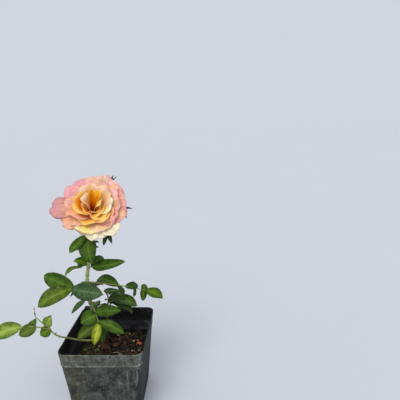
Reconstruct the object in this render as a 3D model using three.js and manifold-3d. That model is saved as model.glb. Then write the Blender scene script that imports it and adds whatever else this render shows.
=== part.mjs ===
// A young rose bush in a square nursery pot, in millimetres, +Z up.
// The origin is the middle of the pot's flat underside, and the front of the pot faces -Y.
import * as THREE from 'three';
import { mergeVertices } from 'three/addons/utils/BufferGeometryUtils.js';
import Module from 'manifold-3d';

const wasm = await Module();
wasm.setup();

// Driving sizes

const gap = 0.3; // clearance between neighbouring pieces

const pot = {
  rimWidth: 115, // outside of the rim band
  bodyWidth: 110.4, // outside of the wall just under the rim band
  baseWidth: 94, // outside at the foot
  height: 118,
  rimBand: 20, // height of the wider band at the top
  step: 1.2, // height over which the wall steps out into the rim band
  bandTaper: 1.9, // how much narrower each side of the band is at its foot
  wall: 1.6,
  floor: 2,
  footBevel: 1.5,
  rimCorner: 11, // radius of the rounded corners at the rim
  baseCorner: 9,
  cornerSteps: 4,
  drainRadius: 4,
  drainFromMiddle: 30,
};

const soil = {
  level: 80, // the ground level that the plant stands on
  relief: 2.6, // height of the lumps
  rings: [0.86, 0.7, 0.54, 0.38, 0.24], // shrinking outlines from the wall to the foot of the plant
  flatRadius: 12, // level patch under the woody foot
  chips: 9, // bits of bark and stone pressed into the surface
  seed: 5,
};

const foot = {
  x: -13,
  y: 12,
  height: 24,
  lean: [1.2, -0.6], // how far the top stands off to +X and +Y
  topRadius: 4.6,
  neckRadius: 5.2,
  flareRadius: 8.6, // at ground level, where the roots begin
  sides: 12,
};

// Each cane is one tapering limb through a few places, from inside the foot to its tip.
const canes = {
  cane_main: {
    through: [
      [-13, 11, 98], [-17.5, 6, 112], [-20.5, 1, 130], [-23, -2, 152], [-27, -2, 175],
      [-27, -2, 194], [-22.5, -3, 222], [-17, -2.5, 250], [-14.5, 4, 268], [-11.5, 11.5, 282], [-7.5, 12.5, 291], [-4.6, 5, 297.8],
    ],
    radii: [3.1, 2.8, 2.4, 2.2, 2.0, 2.2],
    steps: 26,
    sides: 8,
  },
  cane_side: {
    through: [[-12, 12, 98], [-6.5, 14, 112], [-7.5, 13, 132], [-8, 11, 146], [-2.5, 11, 156], [-6, 13, 174]],
    radii: [2.1, 1.8, 1.5, 1.2, 0.9],
    steps: 15,
    sides: 7,
  },
  shoot_low: {
    through: [
      [-14, 11, 92.5], [-28, 3, 95.5], [-40, -7, 103], [-47.5, -15, 111], [-54, -22, 118.2],
      [-60, -27, 123.5], [-64.5, -31, 129], [-68, -34, 135], [-73, -36, 146.5],
    ],
    radii: [1.7, 1.5, 1.2, 0.9],
    steps: 16,
    sides: 7,
  },
};

// The nodding bloom. Angles are in degrees from its axis, lengths along the petal.
const bloom = {
  seat: [-4, -2, 302], // top of the hip, where the petals start
  rise: 31, // how far the axis points above level
  turn: 5, // how far it is turned from the front towards +X
  hipRadius: 4.6,
  hipDepth: 9,
  heartRadius: 8,
  thickness: 1,
  across: 4, // steps of a petal's grid
  along: 3,
  fineSteps: 24, // steps in which a petal's midline is added up
  curlFrom: 0.72, // share of the length after which a petal curls
  cornerCut: 0.15, // how much shorter its sides are than its middle
  footWidth: 0.25, // share of its width that it has at its foot
  widestTurn: 1.1, // how far round the axis one half of it may reach, in radians
  ruffle: 1,
  sepals: [[-69, 48], [3, 45], [70, 49], [140, 42], [212, 42]], // angle and length of each
  sepalWidth: 9,
  sepalSlope: { from: 72, to: 100, curl: 0 },
  seed: 11,
};

// Each whorl stands on an axis of its own that leans a little: how far from it the petals start, where it
// stands and how it leans, to the right and up. A petal is its angle (0 right, 90 up), length, width, slope
// from the axis at its foot and at its end, the further curl of its last part, and the pinch of one corner
// towards the axis.
const whorls = [
  {
    start: 4, axis: [0, 0], lean: [0, 0],
    petals: [
      [179, 57, 34, 62, 98, 10, 0], // the one that sticks out on the left
      [352, 39, 42, 56, 90, 24, 0], [34, 40, 38, 54, 88, 30, 0], [66, 43, 36, 56, 86, 14, 0],
      [98, 43, 42, 52, 84, 24, 0], [140, 45, 36, 54, 84, 8, 0], [204, 46, 34, 58, 92, 16, 0],
      [234, 38, 32, 60, 94, 16, 0], [273, 42, 34, 58, 92, 18, 0], [306, 43, 26, 58, 92, 14, 0],
    ],
  },
  {
    start: 3.6, axis: [-1, -1], lean: [0.04, 0.04],
    petals: [
      [16, 35, 38, 42, 72, 34, 0], [50, 36, 34, 44, 76, 30, 0], [84, 37, 36, 40, 66, 30, 0],
      [130, 41, 36, 44, 70, 28, 0], [190, 41, 36, 42, 66, 30, 0.25], [246, 38, 38, 50, 78, 18, 0],
      [288, 36, 34, 48, 78, 26, 0], [326, 35, 34, 44, 74, 34, 0],
    ],
  },
  {
    start: 3, axis: [-4, -4], lean: [0.13, 0.18],
    petals: [
      [4, 33, 30, 26, 50, 44, 0], [52, 36, 34, 24, 46, 36, 0], [108, 37, 34, 26, 46, 34, 0],
      [190, 36, 44, 32, 50, 40, 0.2], [238, 33, 40, 34, 56, 26, 0], [308, 32, 40, 34, 58, 34, -0.3],
    ],
  },
  {
    start: 2, axis: [-7, -6], lean: [0.22, 0.34],
    petals: [
      [74, 35, 40, 6, 20, 34, 0], [172, 34, 40, 10, 20, 60, 0.3], [10, 31, 30, 6, 20, 60, 0],
      [226, 27, 34, 18, 36, 24, 0.15], [302, 26, 36, 20, 42, 30, -0.35],
    ],
  },
];

// The leaves that the front view shows. end is where the leaf's stalk ends and tip where a leaflet ends,
// both in the frame of the pot. at is the leaflet's place along the stalk, roll turns it about its midrib
// in degrees, arch is the rise of its middle and skew is where it is broadest, if not where most are.
const shownLeaves = [
  {
    name: 'leaf_collar', cane: 'cane_main', height: 254, end: [-20, -9, 266], sag: -1,
    leaflets: [
      { at: 1, tip: [-43, -16, 244.5], wide: 12, roll: -40, arch: 4 },
      { at: 0.62, tip: [-10, -24, 232.5], wide: 24, roll: 0, arch: 5 },
    ],
  },
  {
    name: 'leaf_upper_right', cane: 'cane_main', height: 217, end: [-14, -7, 221], sag: 0,
    leaflets: [
      { at: 1, tip: [31.5, -14, 232.5], wide: 18, roll: 22, arch: -3, skew: 0.74 },
      { at: 0.75, tip: [-7, 17, 226], wide: 14, roll: 0, arch: 3 },
    ],
  },
  {
    name: 'leaf_upper_left', cane: 'cane_main', height: 224, end: [-31, -8, 220.5], sag: -1,
    leaflets: [
      { at: 1, tip: [-51, -20, 213], wide: 10, roll: -6, arch: 4 },
      { at: 0.3, tip: [-39, -12, 232], wide: 14, roll: -34, arch: 2 },
      { at: 0.85, tip: [-38, 8, 222], wide: 9, roll: 0, arch: 2 },
    ],
  },
  {
    name: 'leaf_left', cane: 'cane_main', height: 195, end: [-43, -22, 194], sag: -2,
    leaflets: [
      { at: 1, tip: [-83, -40, 178.5], wide: 24, roll: -22, arch: 5 },
      { at: 0.85, tip: [-87, -6, 207.5], wide: 22, roll: -30, arch: 3 },
      { at: 0.97, tip: [6.5, -42, 198], wide: 23, roll: 24, arch: 1, skew: 1.25 },
    ],
  },
  {
    name: 'leaf_left_low', cane: 'cane_main', height: 168, end: [-35, 3, 163], sag: -1,
    leaflets: [
      { at: 1, tip: [-55, 0, 142.5], wide: 8, roll: 60, arch: 2 },
      { at: 0.7, tip: [-43, 24, 160], wide: 13, roll: 0, arch: 3 },
    ],
  },
  {
    name: 'leaf_behind', cane: 'cane_main', height: 184, end: [-27, 12, 183], sag: -1,
    leaflets: [
      { at: 1, tip: [-31, 37, 168], wide: 16, roll: 0, arch: 2 },
      { at: 0.5, tip: [-7.5, 10, 184.5], wide: 11, roll: 36, arch: 2 },
      { at: 0.7, tip: [-47, 19, 178], wide: 14, roll: -20, arch: 2 },
    ],
  },
  {
    name: 'leaf_right_long', cane: 'cane_main', height: 194, end: [53.5, 18, 170], sag: -2,
    leaflets: [
      { at: 1, tip: [78.5, 12, 161.2], wide: 18, roll: 30, arch: 2 },
      { at: 0.93, tip: [51.5, 24, 177], wide: 11, roll: 20, arch: 1 },
      { at: 0.93, tip: [49, 10, 157], wide: 11, roll: 30, arch: 1 },
      { at: 0.64, tip: [41, 23, 174.6], wide: 11, roll: 36, arch: 3 },
      { at: 0.78, tip: [36, 8, 165], wide: 8, roll: 0, arch: 1 },
      { at: 0.5, tip: [-22, 22, 187], wide: 16, roll: -46, arch: 6 },
      { at: 0.5, tip: [23.5, 5, 168], wide: 9, roll: 20, arch: 1 },
    ],
  },
  {
    name: 'leaf_side_fork', cane: 'cane_side', height: 167, end: [-6, 7, 175.5], sag: 0,
    leaflets: [{ at: 1, tip: [16, 0, 181], wide: 8, roll: 40, arch: 1 }],
  },
  {
    name: 'leaf_right_broad', cane: 'cane_side', height: 150, end: [1, 15, 154], sag: -1,
    leaflets: [
      { at: 1, tip: [38.5, 21, 143.5], wide: 24, roll: 20, arch: 5, skew: 1.2 },
      { at: 0.8, tip: [35, 4, 141.5], wide: 20, roll: 18, arch: 3, skew: 1.25 },
      { at: 0.8, tip: [10, 42, 149], wide: 18, roll: 0, arch: 3 },
      { at: 0.5, tip: [20, 15, 159], wide: 12, roll: 30, arch: 4 },
    ],
  },
  {
    name: 'leaf_front', cane: 'cane_main', height: 163, end: [-6, -28, 143.5], sag: -6,
    leaflets: [
      { at: 1, tip: [-0.5, -34.5, 118.5], wide: 17, roll: -14, arch: -1 },
      { at: 0.96, tip: [-10, -43, 122], wide: 12, roll: 4, arch: 6 },
      { at: 0.9, tip: [-34, -39, 128.5], wide: 16, roll: -14, arch: 3 },
      { at: 0.9, tip: [29.5, -31, 132], wide: 14, roll: 14, arch: 3, skew: 1.2 },
      { at: 0.72, tip: [-31.5, -29, 147], wide: 21, roll: -14, arch: 3 },
      { at: 0.6, tip: [23, -17, 159], wide: 16, roll: 24, arch: 3 },
    ],
  },
  {
    name: 'leaf_low_left', cane: 'shoot_low', height: 141, end: [-106.5, -42, 150], sag: -2,
    leaflets: [
      { at: 1, tip: [-142, -50, 141.5], wide: 20, roll: -50, arch: 5 },
      { at: 0.5, tip: [-107, -49, 142], wide: 16, roll: -58, arch: 0 },
      { at: 0.55, tip: [-98, -26, 150], wide: 13, roll: 0, arch: 2 },
      { at: 0.02, tip: [-82, -42, 137], wide: 15, roll: -62, arch: 1 },
    ],
  },
  {
    name: 'leaf_low_tip', cane: 'shoot_low', height: 146.5, end: [-88.5, -34, 159], sag: 1,
    leaflets: [
      { at: 1, tip: [-90, -34, 174], wide: 5, roll: 40, arch: 0 },
      { at: 0.12, tip: [-68, -34, 160.5], wide: 15, roll: 72, arch: 1 },
      { at: 0.3, tip: [-74, -19, 154], wide: 9, roll: 0, arch: 1 },
    ],
  },
];

// Leaves on the far side, by the plant's own rule: heading is 0 towards +X and 90 towards the back.
const ruleLeaves = [
  { name: 'leaf_back_top', cane: 'cane_main', height: 262, heading: 100, rise: 46, stalk: 30, pairs: 2, size: 29 },
  { name: 'leaf_back_upper', cane: 'cane_main', height: 232, heading: 109, rise: 18, stalk: 26, pairs: 2, size: 27 },
  { name: 'leaf_back_left', cane: 'cane_main', height: 177, heading: 138, rise: -6, stalk: 28, pairs: 2, size: 26 },
  { name: 'leaf_back_right', cane: 'cane_side', height: 140, heading: 78, rise: 6, stalk: 34, pairs: 2, size: 28 },
  { name: 'leaf_back_low', cane: 'cane_main', height: 134, heading: 106, rise: 6, stalk: 26, pairs: 2, size: 25 },
];

const leafRule = {
  sideAngle: 62, // side leaflets leave the stalk at this angle
  sideShare: 0.82, // a side leaflet's length against the end leaflet's
  widthShare: 0.58,
  droop: 0.24, // how far a tip hangs, against the leaflet's length
  firstPair: 0.52, // place of the lowest pair along the stalk
  scatter: 0.12,
  seed: 23,
};

const leaflet = {
  stations: [0.02, 0.16, 0.45, 0.77], // sections from the foot of the blade to near its tip
  midThickness: 0.9,
  edgeThickness: 0.45,
  fold: 0.22, // rise of the blade's edges from its midrib, against the half width
  stalkRadius: 0.95,
  stalkTipRadius: 0.6,
  rootDepth: 1.6, // how far a blade's foot is sunk into its stalk
  outward: 0.6, // how far a blade faces away from its cane, against up
  skew: 0.92, // below 1 the blade is broadest nearer its foot
  bluntness: 0.62, // lower is a fuller outline with blunter ends
};

// Small helpers

const up = new THREE.Vector3(0, 0, 1);
const vector = (list) => new THREE.Vector3(...list);
const radians = THREE.MathUtils.degToRad;
const lerp = THREE.MathUtils.lerp;

function seeded(seed) {
  let state = seed * 2654435761;
  return () => {
    state = (state + 0x6d2b79f5) | 0;
    let mixed = Math.imul(state ^ (state >>> 15), 1 | state);
    mixed = (mixed + Math.imul(mixed ^ (mixed >>> 7), 61 | mixed)) ^ mixed;
    return ((mixed ^ (mixed >>> 14)) >>> 0) / 4294967296;
  };
}

function solidFrom(geometry) {
  const bare = geometry.clone();
  for (const extra of Object.keys(bare.attributes)) {
    if (extra !== 'position') bare.deleteAttribute(extra);
  }
  const merged = mergeVertices(bare, 1e-4);
  return new wasm.Manifold(new wasm.Mesh({
    numProp: 3,
    vertProperties: new Float32Array(merged.attributes.position.array),
    triVerts: new Uint32Array(merged.index.array),
  }));
}

function geometryFrom(solid) {
  const mesh = solid.getMesh();
  const places = new Float32Array(mesh.numVert * 3);
  for (let i = 0; i < mesh.numVert; i += 1) {
    places.set(mesh.vertProperties.subarray(i * mesh.numProp, i * mesh.numProp + 3), i * 3);
  }
  const geometry = new THREE.BufferGeometry();
  geometry.setAttribute('position', new THREE.BufferAttribute(places, 3));
  geometry.setIndex(new THREE.BufferAttribute(new Uint32Array(mesh.triVerts), 1));
  geometry.computeVertexNormals();
  return geometry;
}

// The largest closed skin of a solid: sealed hollows are filled and loose scraps are dropped.
function wholeBody(solid) {
  const mesh = solid.getMesh();
  const parent = Array.from({ length: mesh.numVert }, (_, i) => i);
  const root = (i) => {
    let r = i;
    while (parent[r] !== r) {
      parent[r] = parent[parent[r]];
      r = parent[r];
    }
    return r;
  };
  const corners = mesh.triVerts;
  for (let i = 0; i < corners.length; i += 3) {
    parent[root(corners[i + 1])] = root(corners[i]);
    parent[root(corners[i + 2])] = root(corners[i]);
  }
  const at = (i) => new THREE.Vector3().fromArray(mesh.vertProperties, i * mesh.numProp);
  const volumes = new Map();
  for (let i = 0; i < corners.length; i += 3) {
    const [a, b, c] = [at(corners[i]), at(corners[i + 1]), at(corners[i + 2])];
    const skin = root(corners[i]);
    volumes.set(skin, (volumes.get(skin) ?? 0) + a.dot(b.cross(c)) / 6);
  }
  const outer = [...volumes].sort((a, b) => b[1] - a[1])[0][0];
  const kept = [];
  for (let i = 0; i < corners.length; i += 3) {
    if (root(corners[i]) === outer) kept.push(corners[i], corners[i + 1], corners[i + 2]);
  }
  return new wasm.Manifold(new wasm.Mesh({
    numProp: mesh.numProp,
    vertProperties: mesh.vertProperties,
    triVerts: new Uint32Array(kept),
  }));
}

// A closed skin through rings of equal length, each counter-clockwise seen against the way they run.
function loft(rings) {
  const count = rings[0].length;
  const points = rings.flat();
  const faces = [];
  for (let row = 0; row < rings.length - 1; row += 1) {
    for (let i = 0; i < count; i += 1) {
      const a = row * count + i;
      const b = row * count + ((i + 1) % count);
      faces.push(a, b, b + count, a, b + count, a + count);
    }
  }
  const last = (rings.length - 1) * count;
  for (const [ring, start, flip] of [[rings[0], 0, true], [rings[rings.length - 1], last, false]]) {
    const middle = ring.reduce((sum, p) => sum.add(p), new THREE.Vector3()).divideScalar(count);
    const hub = points.push(middle) - 1;
    for (let i = 0; i < count; i += 1) {
      const a = start + i;
      const b = start + ((i + 1) % count);
      faces.push(...(flip ? [b, a, hub] : [a, b, hub]));
    }
  }
  const geometry = new THREE.BufferGeometry().setFromPoints(points);
  geometry.setIndex(faces);
  return geometry;
}

function smoothValue(values, t) {
  const place = t * (values.length - 1);
  const i = Math.min(Math.floor(place), values.length - 2);
  return lerp(values[i], values[i + 1], place - i);
}

// A round limb along a curve. grown makes the larger copy that neighbours are cut by.
function limb(curve, radii, steps, sides, grown = 0) {
  const rings = [];
  let across = new THREE.Vector3(1, 0, 0);
  for (let i = 0; i <= steps; i += 1) {
    const t = i / steps;
    const tangent = curve.getTangentAt(t);
    const middle = curve.getPointAt(t);
    if (grown && i === steps) middle.addScaledVector(tangent, grown);
    across = across.clone().addScaledVector(tangent, -across.dot(tangent)).normalize();
    const other = tangent.clone().cross(across);
    const radius = smoothValue(radii, t) + grown;
    rings.push(Array.from({ length: sides }, (_, k) => {
      const angle = (2 * Math.PI * k) / sides;
      return middle.clone()
        .addScaledVector(across, radius * Math.cos(angle))
        .addScaledVector(other, radius * Math.sin(angle));
    }));
  }
  return solidFrom(loft(rings));
}

// The pot

function squareRing(half, corner, z, centre = [0, 0]) {
  const ring = [];
  const inner = half - corner;
  [[1, 1], [-1, 1], [-1, -1], [1, -1]].forEach(([sx, sy], quarter) => {
    for (let k = 0; k <= pot.cornerSteps; k += 1) {
      const angle = (Math.PI / 2) * (quarter + k / pot.cornerSteps);
      ring.push(new THREE.Vector3(
        centre[0] + sx * inner + corner * Math.cos(angle),
        centre[1] + sy * inner + corner * Math.sin(angle),
        z,
      ));
    }
  });
  return ring;
}

const bandFoot = pot.height - pot.rimBand;
const innerFoot = pot.baseWidth / 2 - pot.wall;
const innerTop = pot.bodyWidth / 2 - pot.wall;

function potSolid() {
  const base = pot.baseWidth / 2;
  const body = pot.bodyWidth / 2;
  const rim = pot.rimWidth / 2;
  const rings = [
    squareRing(base - pot.footBevel, pot.baseCorner - pot.footBevel, 0),
    squareRing(base, pot.baseCorner, pot.footBevel),
    squareRing(body, pot.rimCorner, bandFoot - pot.step),
    squareRing(rim - pot.bandTaper, pot.rimCorner, bandFoot),
    squareRing(rim, pot.rimCorner, pot.height),
    squareRing(rim - pot.wall, pot.rimCorner - pot.wall, pot.height),
    squareRing(rim - pot.bandTaper - pot.wall, pot.rimCorner - pot.wall, bandFoot + 0.6),
    squareRing(innerTop, pot.rimCorner - pot.wall, bandFoot - pot.step + 0.6),
    squareRing(innerFoot, pot.baseCorner - pot.wall, pot.floor),
  ];
  let solid = solidFrom(loft(rings));
  for (const sx of [-1, 1]) {
    for (const sy of [-1, 1]) {
      const drill = new THREE.CylinderGeometry(pot.drainRadius, pot.drainRadius, 4 * pot.floor, 12);
      drill.rotateX(Math.PI / 2);
      drill.translate(sx * pot.drainFromMiddle, sy * pot.drainFromMiddle, pot.floor / 2);
      solid = solid.subtract(solidFrom(drill));
    }
  }
  return solid;
}

// The potting mix, lumpy on top, with a level patch at the foot of the plant

function soilSolid() {
  const random = seeded(soil.seed);
  const top = bandFoot - pot.step;
  const halfAt = (z) => lerp(innerFoot, innerTop, (z - pot.floor) / (top - pot.floor)) - gap * 1.2;
  const cornerAt = (z) => lerp(pot.baseCorner, pot.rimCorner, z / pot.height) - pot.wall;
  const rings = [pot.floor + gap, soil.level - 3].map((z) => squareRing(halfAt(z), cornerAt(z), z));
  const centre = new THREE.Vector3(foot.x, foot.y, soil.level);
  const edge = squareRing(halfAt(soil.level - 3) - 1, cornerAt(soil.level), soil.level);
  for (const share of [1, ...soil.rings]) {
    rings.push(edge.map((p) => {
      const spot = centre.clone().lerp(p, share);
      spot.z = soil.level + (random() - 0.55) * soil.relief * 2 * Math.min(1, share * 2);
      return spot;
    }));
  }
  rings.push(edge.map((p) => {
    const way = p.clone().sub(centre).setZ(0).setLength(soil.flatRadius);
    return centre.clone().add(way);
  }));
  let solid = solidFrom(loft(rings));
  for (let i = 0; i < soil.chips; i += 1) {
    const angle = 2 * Math.PI * ((i + 0.6 * random()) / soil.chips);
    const away = lerp(18, 30, random());
    const chip = new THREE.IcosahedronGeometry(1, 0);
    chip.scale(lerp(2.5, 5, random()), lerp(2, 3.5, random()), lerp(1.6, 2.6, random()));
    chip.rotateZ(random() * Math.PI);
    chip.translate(Math.cos(angle) * away, Math.sin(angle) * away, soil.level + 0.5);
    if (Math.hypot(Math.cos(angle) * away - foot.x, Math.sin(angle) * away - foot.y) < soil.flatRadius + 6) continue;
    solid = solid.add(solidFrom(chip));
  }
  return wholeBody(solid);
}

// The woody foot with its root flare, cut flat at ground level

function footSolid(grown = 0) {
  const rings = [];
  const heights = [0, 0.1, 0.25, 0.5, 0.8, 1];
  for (const share of heights) {
    const flare = Math.max(0, 1 - share / 0.32) ** 2;
    const radius = lerp(foot.neckRadius, foot.topRadius, share) + (foot.flareRadius - foot.neckRadius) * flare + grown;
    const z = soil.level + gap + share * foot.height + (share === 1 ? grown : 0);
    rings.push(Array.from({ length: foot.sides }, (_, k) => {
      const angle = (2 * Math.PI * k) / foot.sides;
      const lobe = radius * (1 + 0.16 * flare * Math.cos(4 * angle + 0.6));
      return new THREE.Vector3(
        foot.x + foot.lean[0] * share + lobe * Math.cos(angle),
        foot.y + foot.lean[1] * share + lobe * Math.sin(angle),
        z,
      );
    }));
  }
  return solidFrom(loft(rings));
}

const caneCurve = {};
for (const [name, cane] of Object.entries(canes)) {
  caneCurve[name] = new THREE.CatmullRomCurve3(cane.through.map(vector), false, 'centripetal');
}

const caneLimb = (name, grown = 0) => {
  const cane = canes[name];
  return limb(caneCurve[name], cane.radii, cane.steps, cane.sides, grown);
};

// The point of a cane at a height above the table
function caneAt(name, height) {
  const curve = caneCurve[name];
  const samples = 200;
  let best = curve.getPointAt(0);
  for (let i = 1; i <= samples; i += 1) {
    const spot = curve.getPointAt(i / samples);
    if (Math.abs(spot.z - height) < Math.abs(best.z - height)) best = spot;
  }
  return best;
}

// One leaflet: a thin blade, folded a little along its midrib and arched along it

function leafletSolid(base, tip, wide, roll, arch, outward, skew = leaflet.skew) {
  const along = tip.clone().sub(base);
  const length = along.length();
  const way = along.clone().normalize();
  const face = up.clone().addScaledVector(outward, leaflet.outward);
  face.addScaledVector(way, -face.dot(way)).normalize();
  face.applyAxisAngle(way, radians(roll));
  const side = face.clone().cross(way);
  const halfWidth = (t) => (wide / 2) * Math.sin(Math.PI * t ** skew) ** leaflet.bluntness;
  const start = base.clone().addScaledVector(way, -leaflet.rootDepth);
  const sunk = leaflet.rootDepth / (length + leaflet.rootDepth);
  const midrib = (t) => {
    const free = Math.max(0, t - sunk) / (1 - sunk);
    return start.clone().lerp(tip, t).addScaledVector(face, 4 * arch * free * (1 - free));
  };
  const rings = leaflet.stations.map((t) => {
    const half = Math.max(halfWidth(t), leaflet.stalkRadius);
    const lift = leaflet.fold * half;
    const corner = (across, rise, height) => midrib(t)
      .addScaledVector(side, across * half)
      .addScaledVector(face, rise * lift + height);
    const mid = Math.max(leaflet.midThickness, length / 60) / 2;
    const edge = leaflet.edgeThickness / 2;
    return [
      corner(-1, 1, -edge), corner(0, 0, -mid), corner(1, 1, -edge),
      corner(1, 1, edge), corner(0, 0, mid), corner(-1, 1, edge),
    ];
  });
  const end = rings[rings.length - 1].map((p) => tip.clone().lerp(p, 0.06));
  return solidFrom(loft([...rings, end]));
}

function leafSolid(leaf) {
  const from = caneAt(leaf.cane, leaf.height);
  const to = vector(leaf.end);
  const bend = from.clone().lerp(to, 0.5).setZ((from.z + to.z) / 2 - leaf.sag * 2);
  const stalk = new THREE.QuadraticBezierCurve3(from, bend, to);
  const steps = Math.max(3, Math.round(stalk.getLength() / 9));
  let solid = limb(stalk, [leaflet.stalkRadius, leaflet.stalkTipRadius], steps, 3);
  for (const blade of leaf.leaflets) {
    const base = stalk.getPoint(Math.min(blade.at, 0.995));
    const outward = base.clone().sub(from).setZ(0);
    if (outward.length() > 1e-6) outward.normalize();
    const [tip, { wide, roll, arch }] = [vector(blade.tip), blade];
    solid = solid.add(leafletSolid(base, tip, wide, roll, arch, outward, blade.skew));
  }
  for (const name of Object.keys(canes)) solid = solid.subtract(caneLimb(name, gap));
  return wholeBody(solid);
}

// The plant's own rule for a leaf: pairs of side leaflets and one at the end of a straight stalk
function byRule(leaf, index) {
  const random = seeded(leafRule.seed + index);
  const jitter = () => 1 + leafRule.scatter * (random() - 0.5) * 2;
  const heading = radians(leaf.heading);
  const rise = radians(leaf.rise);
  const forward = new THREE.Vector3(
    Math.cos(heading) * Math.cos(rise),
    Math.sin(heading) * Math.cos(rise),
    Math.sin(rise),
  );
  const from = caneAt(leaf.cane, leaf.height);
  const end = from.clone().addScaledVector(forward, leaf.stalk);
  const leaflets = [];
  const addLeaflet = (at, turn, length, roll) => {
    const tip = from.clone().lerp(end, at);
    tip.addScaledVector(forward.clone().applyAxisAngle(up, radians(turn)), length);
    tip.z -= leafRule.droop * length * jitter();
    leaflets.push({ at, tip: tip.toArray(), wide: length * leafRule.widthShare, roll, arch: 2.5 });
  };
  addLeaflet(1, 0, leaf.size * jitter(), 0);
  for (let pair = 0; pair < leaf.pairs; pair += 1) {
    const at = lerp(leafRule.firstPair, 0.97, pair / Math.max(1, leaf.pairs - 1));
    const share = leafRule.sideShare * lerp(0.86, 1, pair / leaf.pairs);
    for (const side of [-1, 1]) {
      addLeaflet(at, side * leafRule.sideAngle * jitter(), leaf.size * share * jitter(), side * 8);
    }
  }
  return { ...leaf, end: end.toArray(), sag: 0, leaflets };
}

// The bloom: whorls of petals on a hip, each petal bent away from the axis along its length

const bloomFrame = (() => {
  const turn = radians(bloom.turn);
  const rise = radians(bloom.rise);
  const right = new THREE.Vector3(Math.cos(turn), Math.sin(turn), 0);
  const axis = new THREE.Vector3(
    Math.sin(turn) * Math.cos(rise),
    -Math.cos(turn) * Math.cos(rise),
    Math.sin(rise),
  );
  const back = axis.clone().cross(right);
  return new THREE.Matrix4().makeBasis(right, back, axis).setPosition(vector(bloom.seat));
})();

// Radius and height along a petal's midline, as its slope turns and then curls
function petalLine(petal) {
  const step = petal.length / bloom.fineSteps;
  const line = [[petal.start, 0]];
  for (let k = 0; k < bloom.fineSteps; k += 1) {
    const v = (k + 0.5) / bloom.fineSteps;
    const slope = lerp(petal.from, petal.to, v) + petal.curl * THREE.MathUtils.smoothstep(v, bloom.curlFrom, 1);
    const [radius, height] = line[k];
    line.push([radius + step * Math.sin(radians(slope)), height + step * Math.cos(radians(slope))]);
  }
  return line;
}

function petalPoint(petal, u, v) {
  const along = v * (1 - bloom.cornerCut * Math.abs(u) ** 3);
  const place = along * bloom.fineSteps;
  const k = Math.min(Math.floor(place), bloom.fineSteps - 1);
  let [radius, height] = [0, 1].map((n) => lerp(petal.line[k][n], petal.line[k + 1][n], place - k));
  const half = (petal.wide / 2) * lerp(bloom.footWidth, 1, Math.sin((Math.PI / 2) * along ** 0.8));
  const angle = radians(petal.angle) + u * Math.min(half / radius, bloom.widestTurn);
  radius *= 1 - Math.abs(petal.pinch) * THREE.MathUtils.smoothstep(Math.sign(petal.pinch) * u, 0.1, 1);
  height += bloom.ruffle * along ** 3 * Math.sin(petal.phase + 4.2 * u);
  return new THREE.Vector3(
    petal.axis[0] + petal.lean[0] * height + radius * Math.cos(angle),
    petal.axis[1] + petal.lean[1] * height + radius * Math.sin(angle),
    height,
  );
}

function petalSolid(petal) {
  const { across, along, thickness } = bloom;
  const skin = { top: [], under: [] };
  for (let j = 0; j <= along; j += 1) {
    for (let i = 0; i <= across; i += 1) {
      const u = -1 + (2 * i) / across;
      const v = j / along;
      const spot = petalPoint(petal, u, v);
      const du = petalPoint(petal, u + 0.02, v).sub(petalPoint(petal, u - 0.02, v));
      const dv = petalPoint(petal, u, v + 0.02).sub(petalPoint(petal, u, Math.max(v - 0.02, 0)));
      const normal = du.cross(dv).normalize();
      skin.top.push(spot.clone().addScaledVector(normal, thickness / 2));
      skin.under.push(spot.clone().addScaledVector(normal, -thickness / 2));
    }
  }
  const row = across + 1;
  const faces = [];
  const far = skin.top.length;
  for (let j = 0; j < along; j += 1) {
    for (let i = 0; i < across; i += 1) {
      const a = j * row + i;
      faces.push(a, a + 1, a + row + 1, a, a + row + 1, a + row);
      faces.push(far + a, far + a + row + 1, far + a + 1, far + a, far + a + row, far + a + row + 1);
    }
  }
  const rim = [];
  for (let i = 0; i < across; i += 1) rim.push(i);
  for (let j = 0; j < along; j += 1) rim.push(j * row + across);
  for (let i = across; i > 0; i -= 1) rim.push(along * row + i);
  for (let j = along; j > 0; j -= 1) rim.push(j * row);
  rim.forEach((a, k) => {
    const b = rim[(k + 1) % rim.length];
    faces.push(a, far + a, far + b, a, far + b, b);
  });
  const geometry = new THREE.BufferGeometry().setFromPoints([...skin.top, ...skin.under]);
  geometry.setIndex(faces);
  return solidFrom(geometry);
}

function allPetals() {
  const random = seeded(bloom.seed);
  return whorls.flatMap(({ start, axis, lean, petals }) => petals.map((row) => {
    const [angle, length, wide, from, to, curl, pinch] = row;
    const petal = { start, axis, lean, angle, length, wide, from, to, curl, pinch, phase: 2 * Math.PI * random() };
    return { ...petal, line: petalLine(petal) };
  }));
}

function bloomSolid() {
  const { hipRadius, hipDepth, heartRadius, sepals, sepalWidth, sepalSlope } = bloom;
  const profile = [
    [0, -hipDepth], [0.55 * hipRadius, -hipDepth], [0.95 * hipRadius, -0.65 * hipDepth], [hipRadius, -0.3 * hipDepth],
    [1.25 * hipRadius, 0], [heartRadius, 4], [0.8 * heartRadius, 8], [0.4 * heartRadius, 10], [0, 10.5],
  ].map(([x, y]) => new THREE.Vector2(x, y));
  const hip = new THREE.LatheGeometry(profile, 12).rotateX(Math.PI / 2);
  let solid = solidFrom(hip);
  for (const petal of allPetals()) solid = solid.add(petalSolid(petal));
  for (const [turn, length] of sepals) {
    const angle = radians(turn);
    const [reach, rise] = petalLine({ ...sepalSlope, length, start: hipRadius }).at(-1);
    const outward = new THREE.Vector3(Math.cos(angle), Math.sin(angle), 0);
    const base = outward.clone().multiplyScalar(0.8 * hipRadius).setZ(-2);
    const tip = outward.clone().multiplyScalar(reach).setZ(rise - 4);
    solid = solid.add(leafletSolid(base, tip, sepalWidth, 0, -1.5, outward));
  }
  return wholeBody(solid.transform(bloomFrame.elements).subtract(caneLimb('cane_main', gap)));
}

// Materials and the finished group

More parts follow.
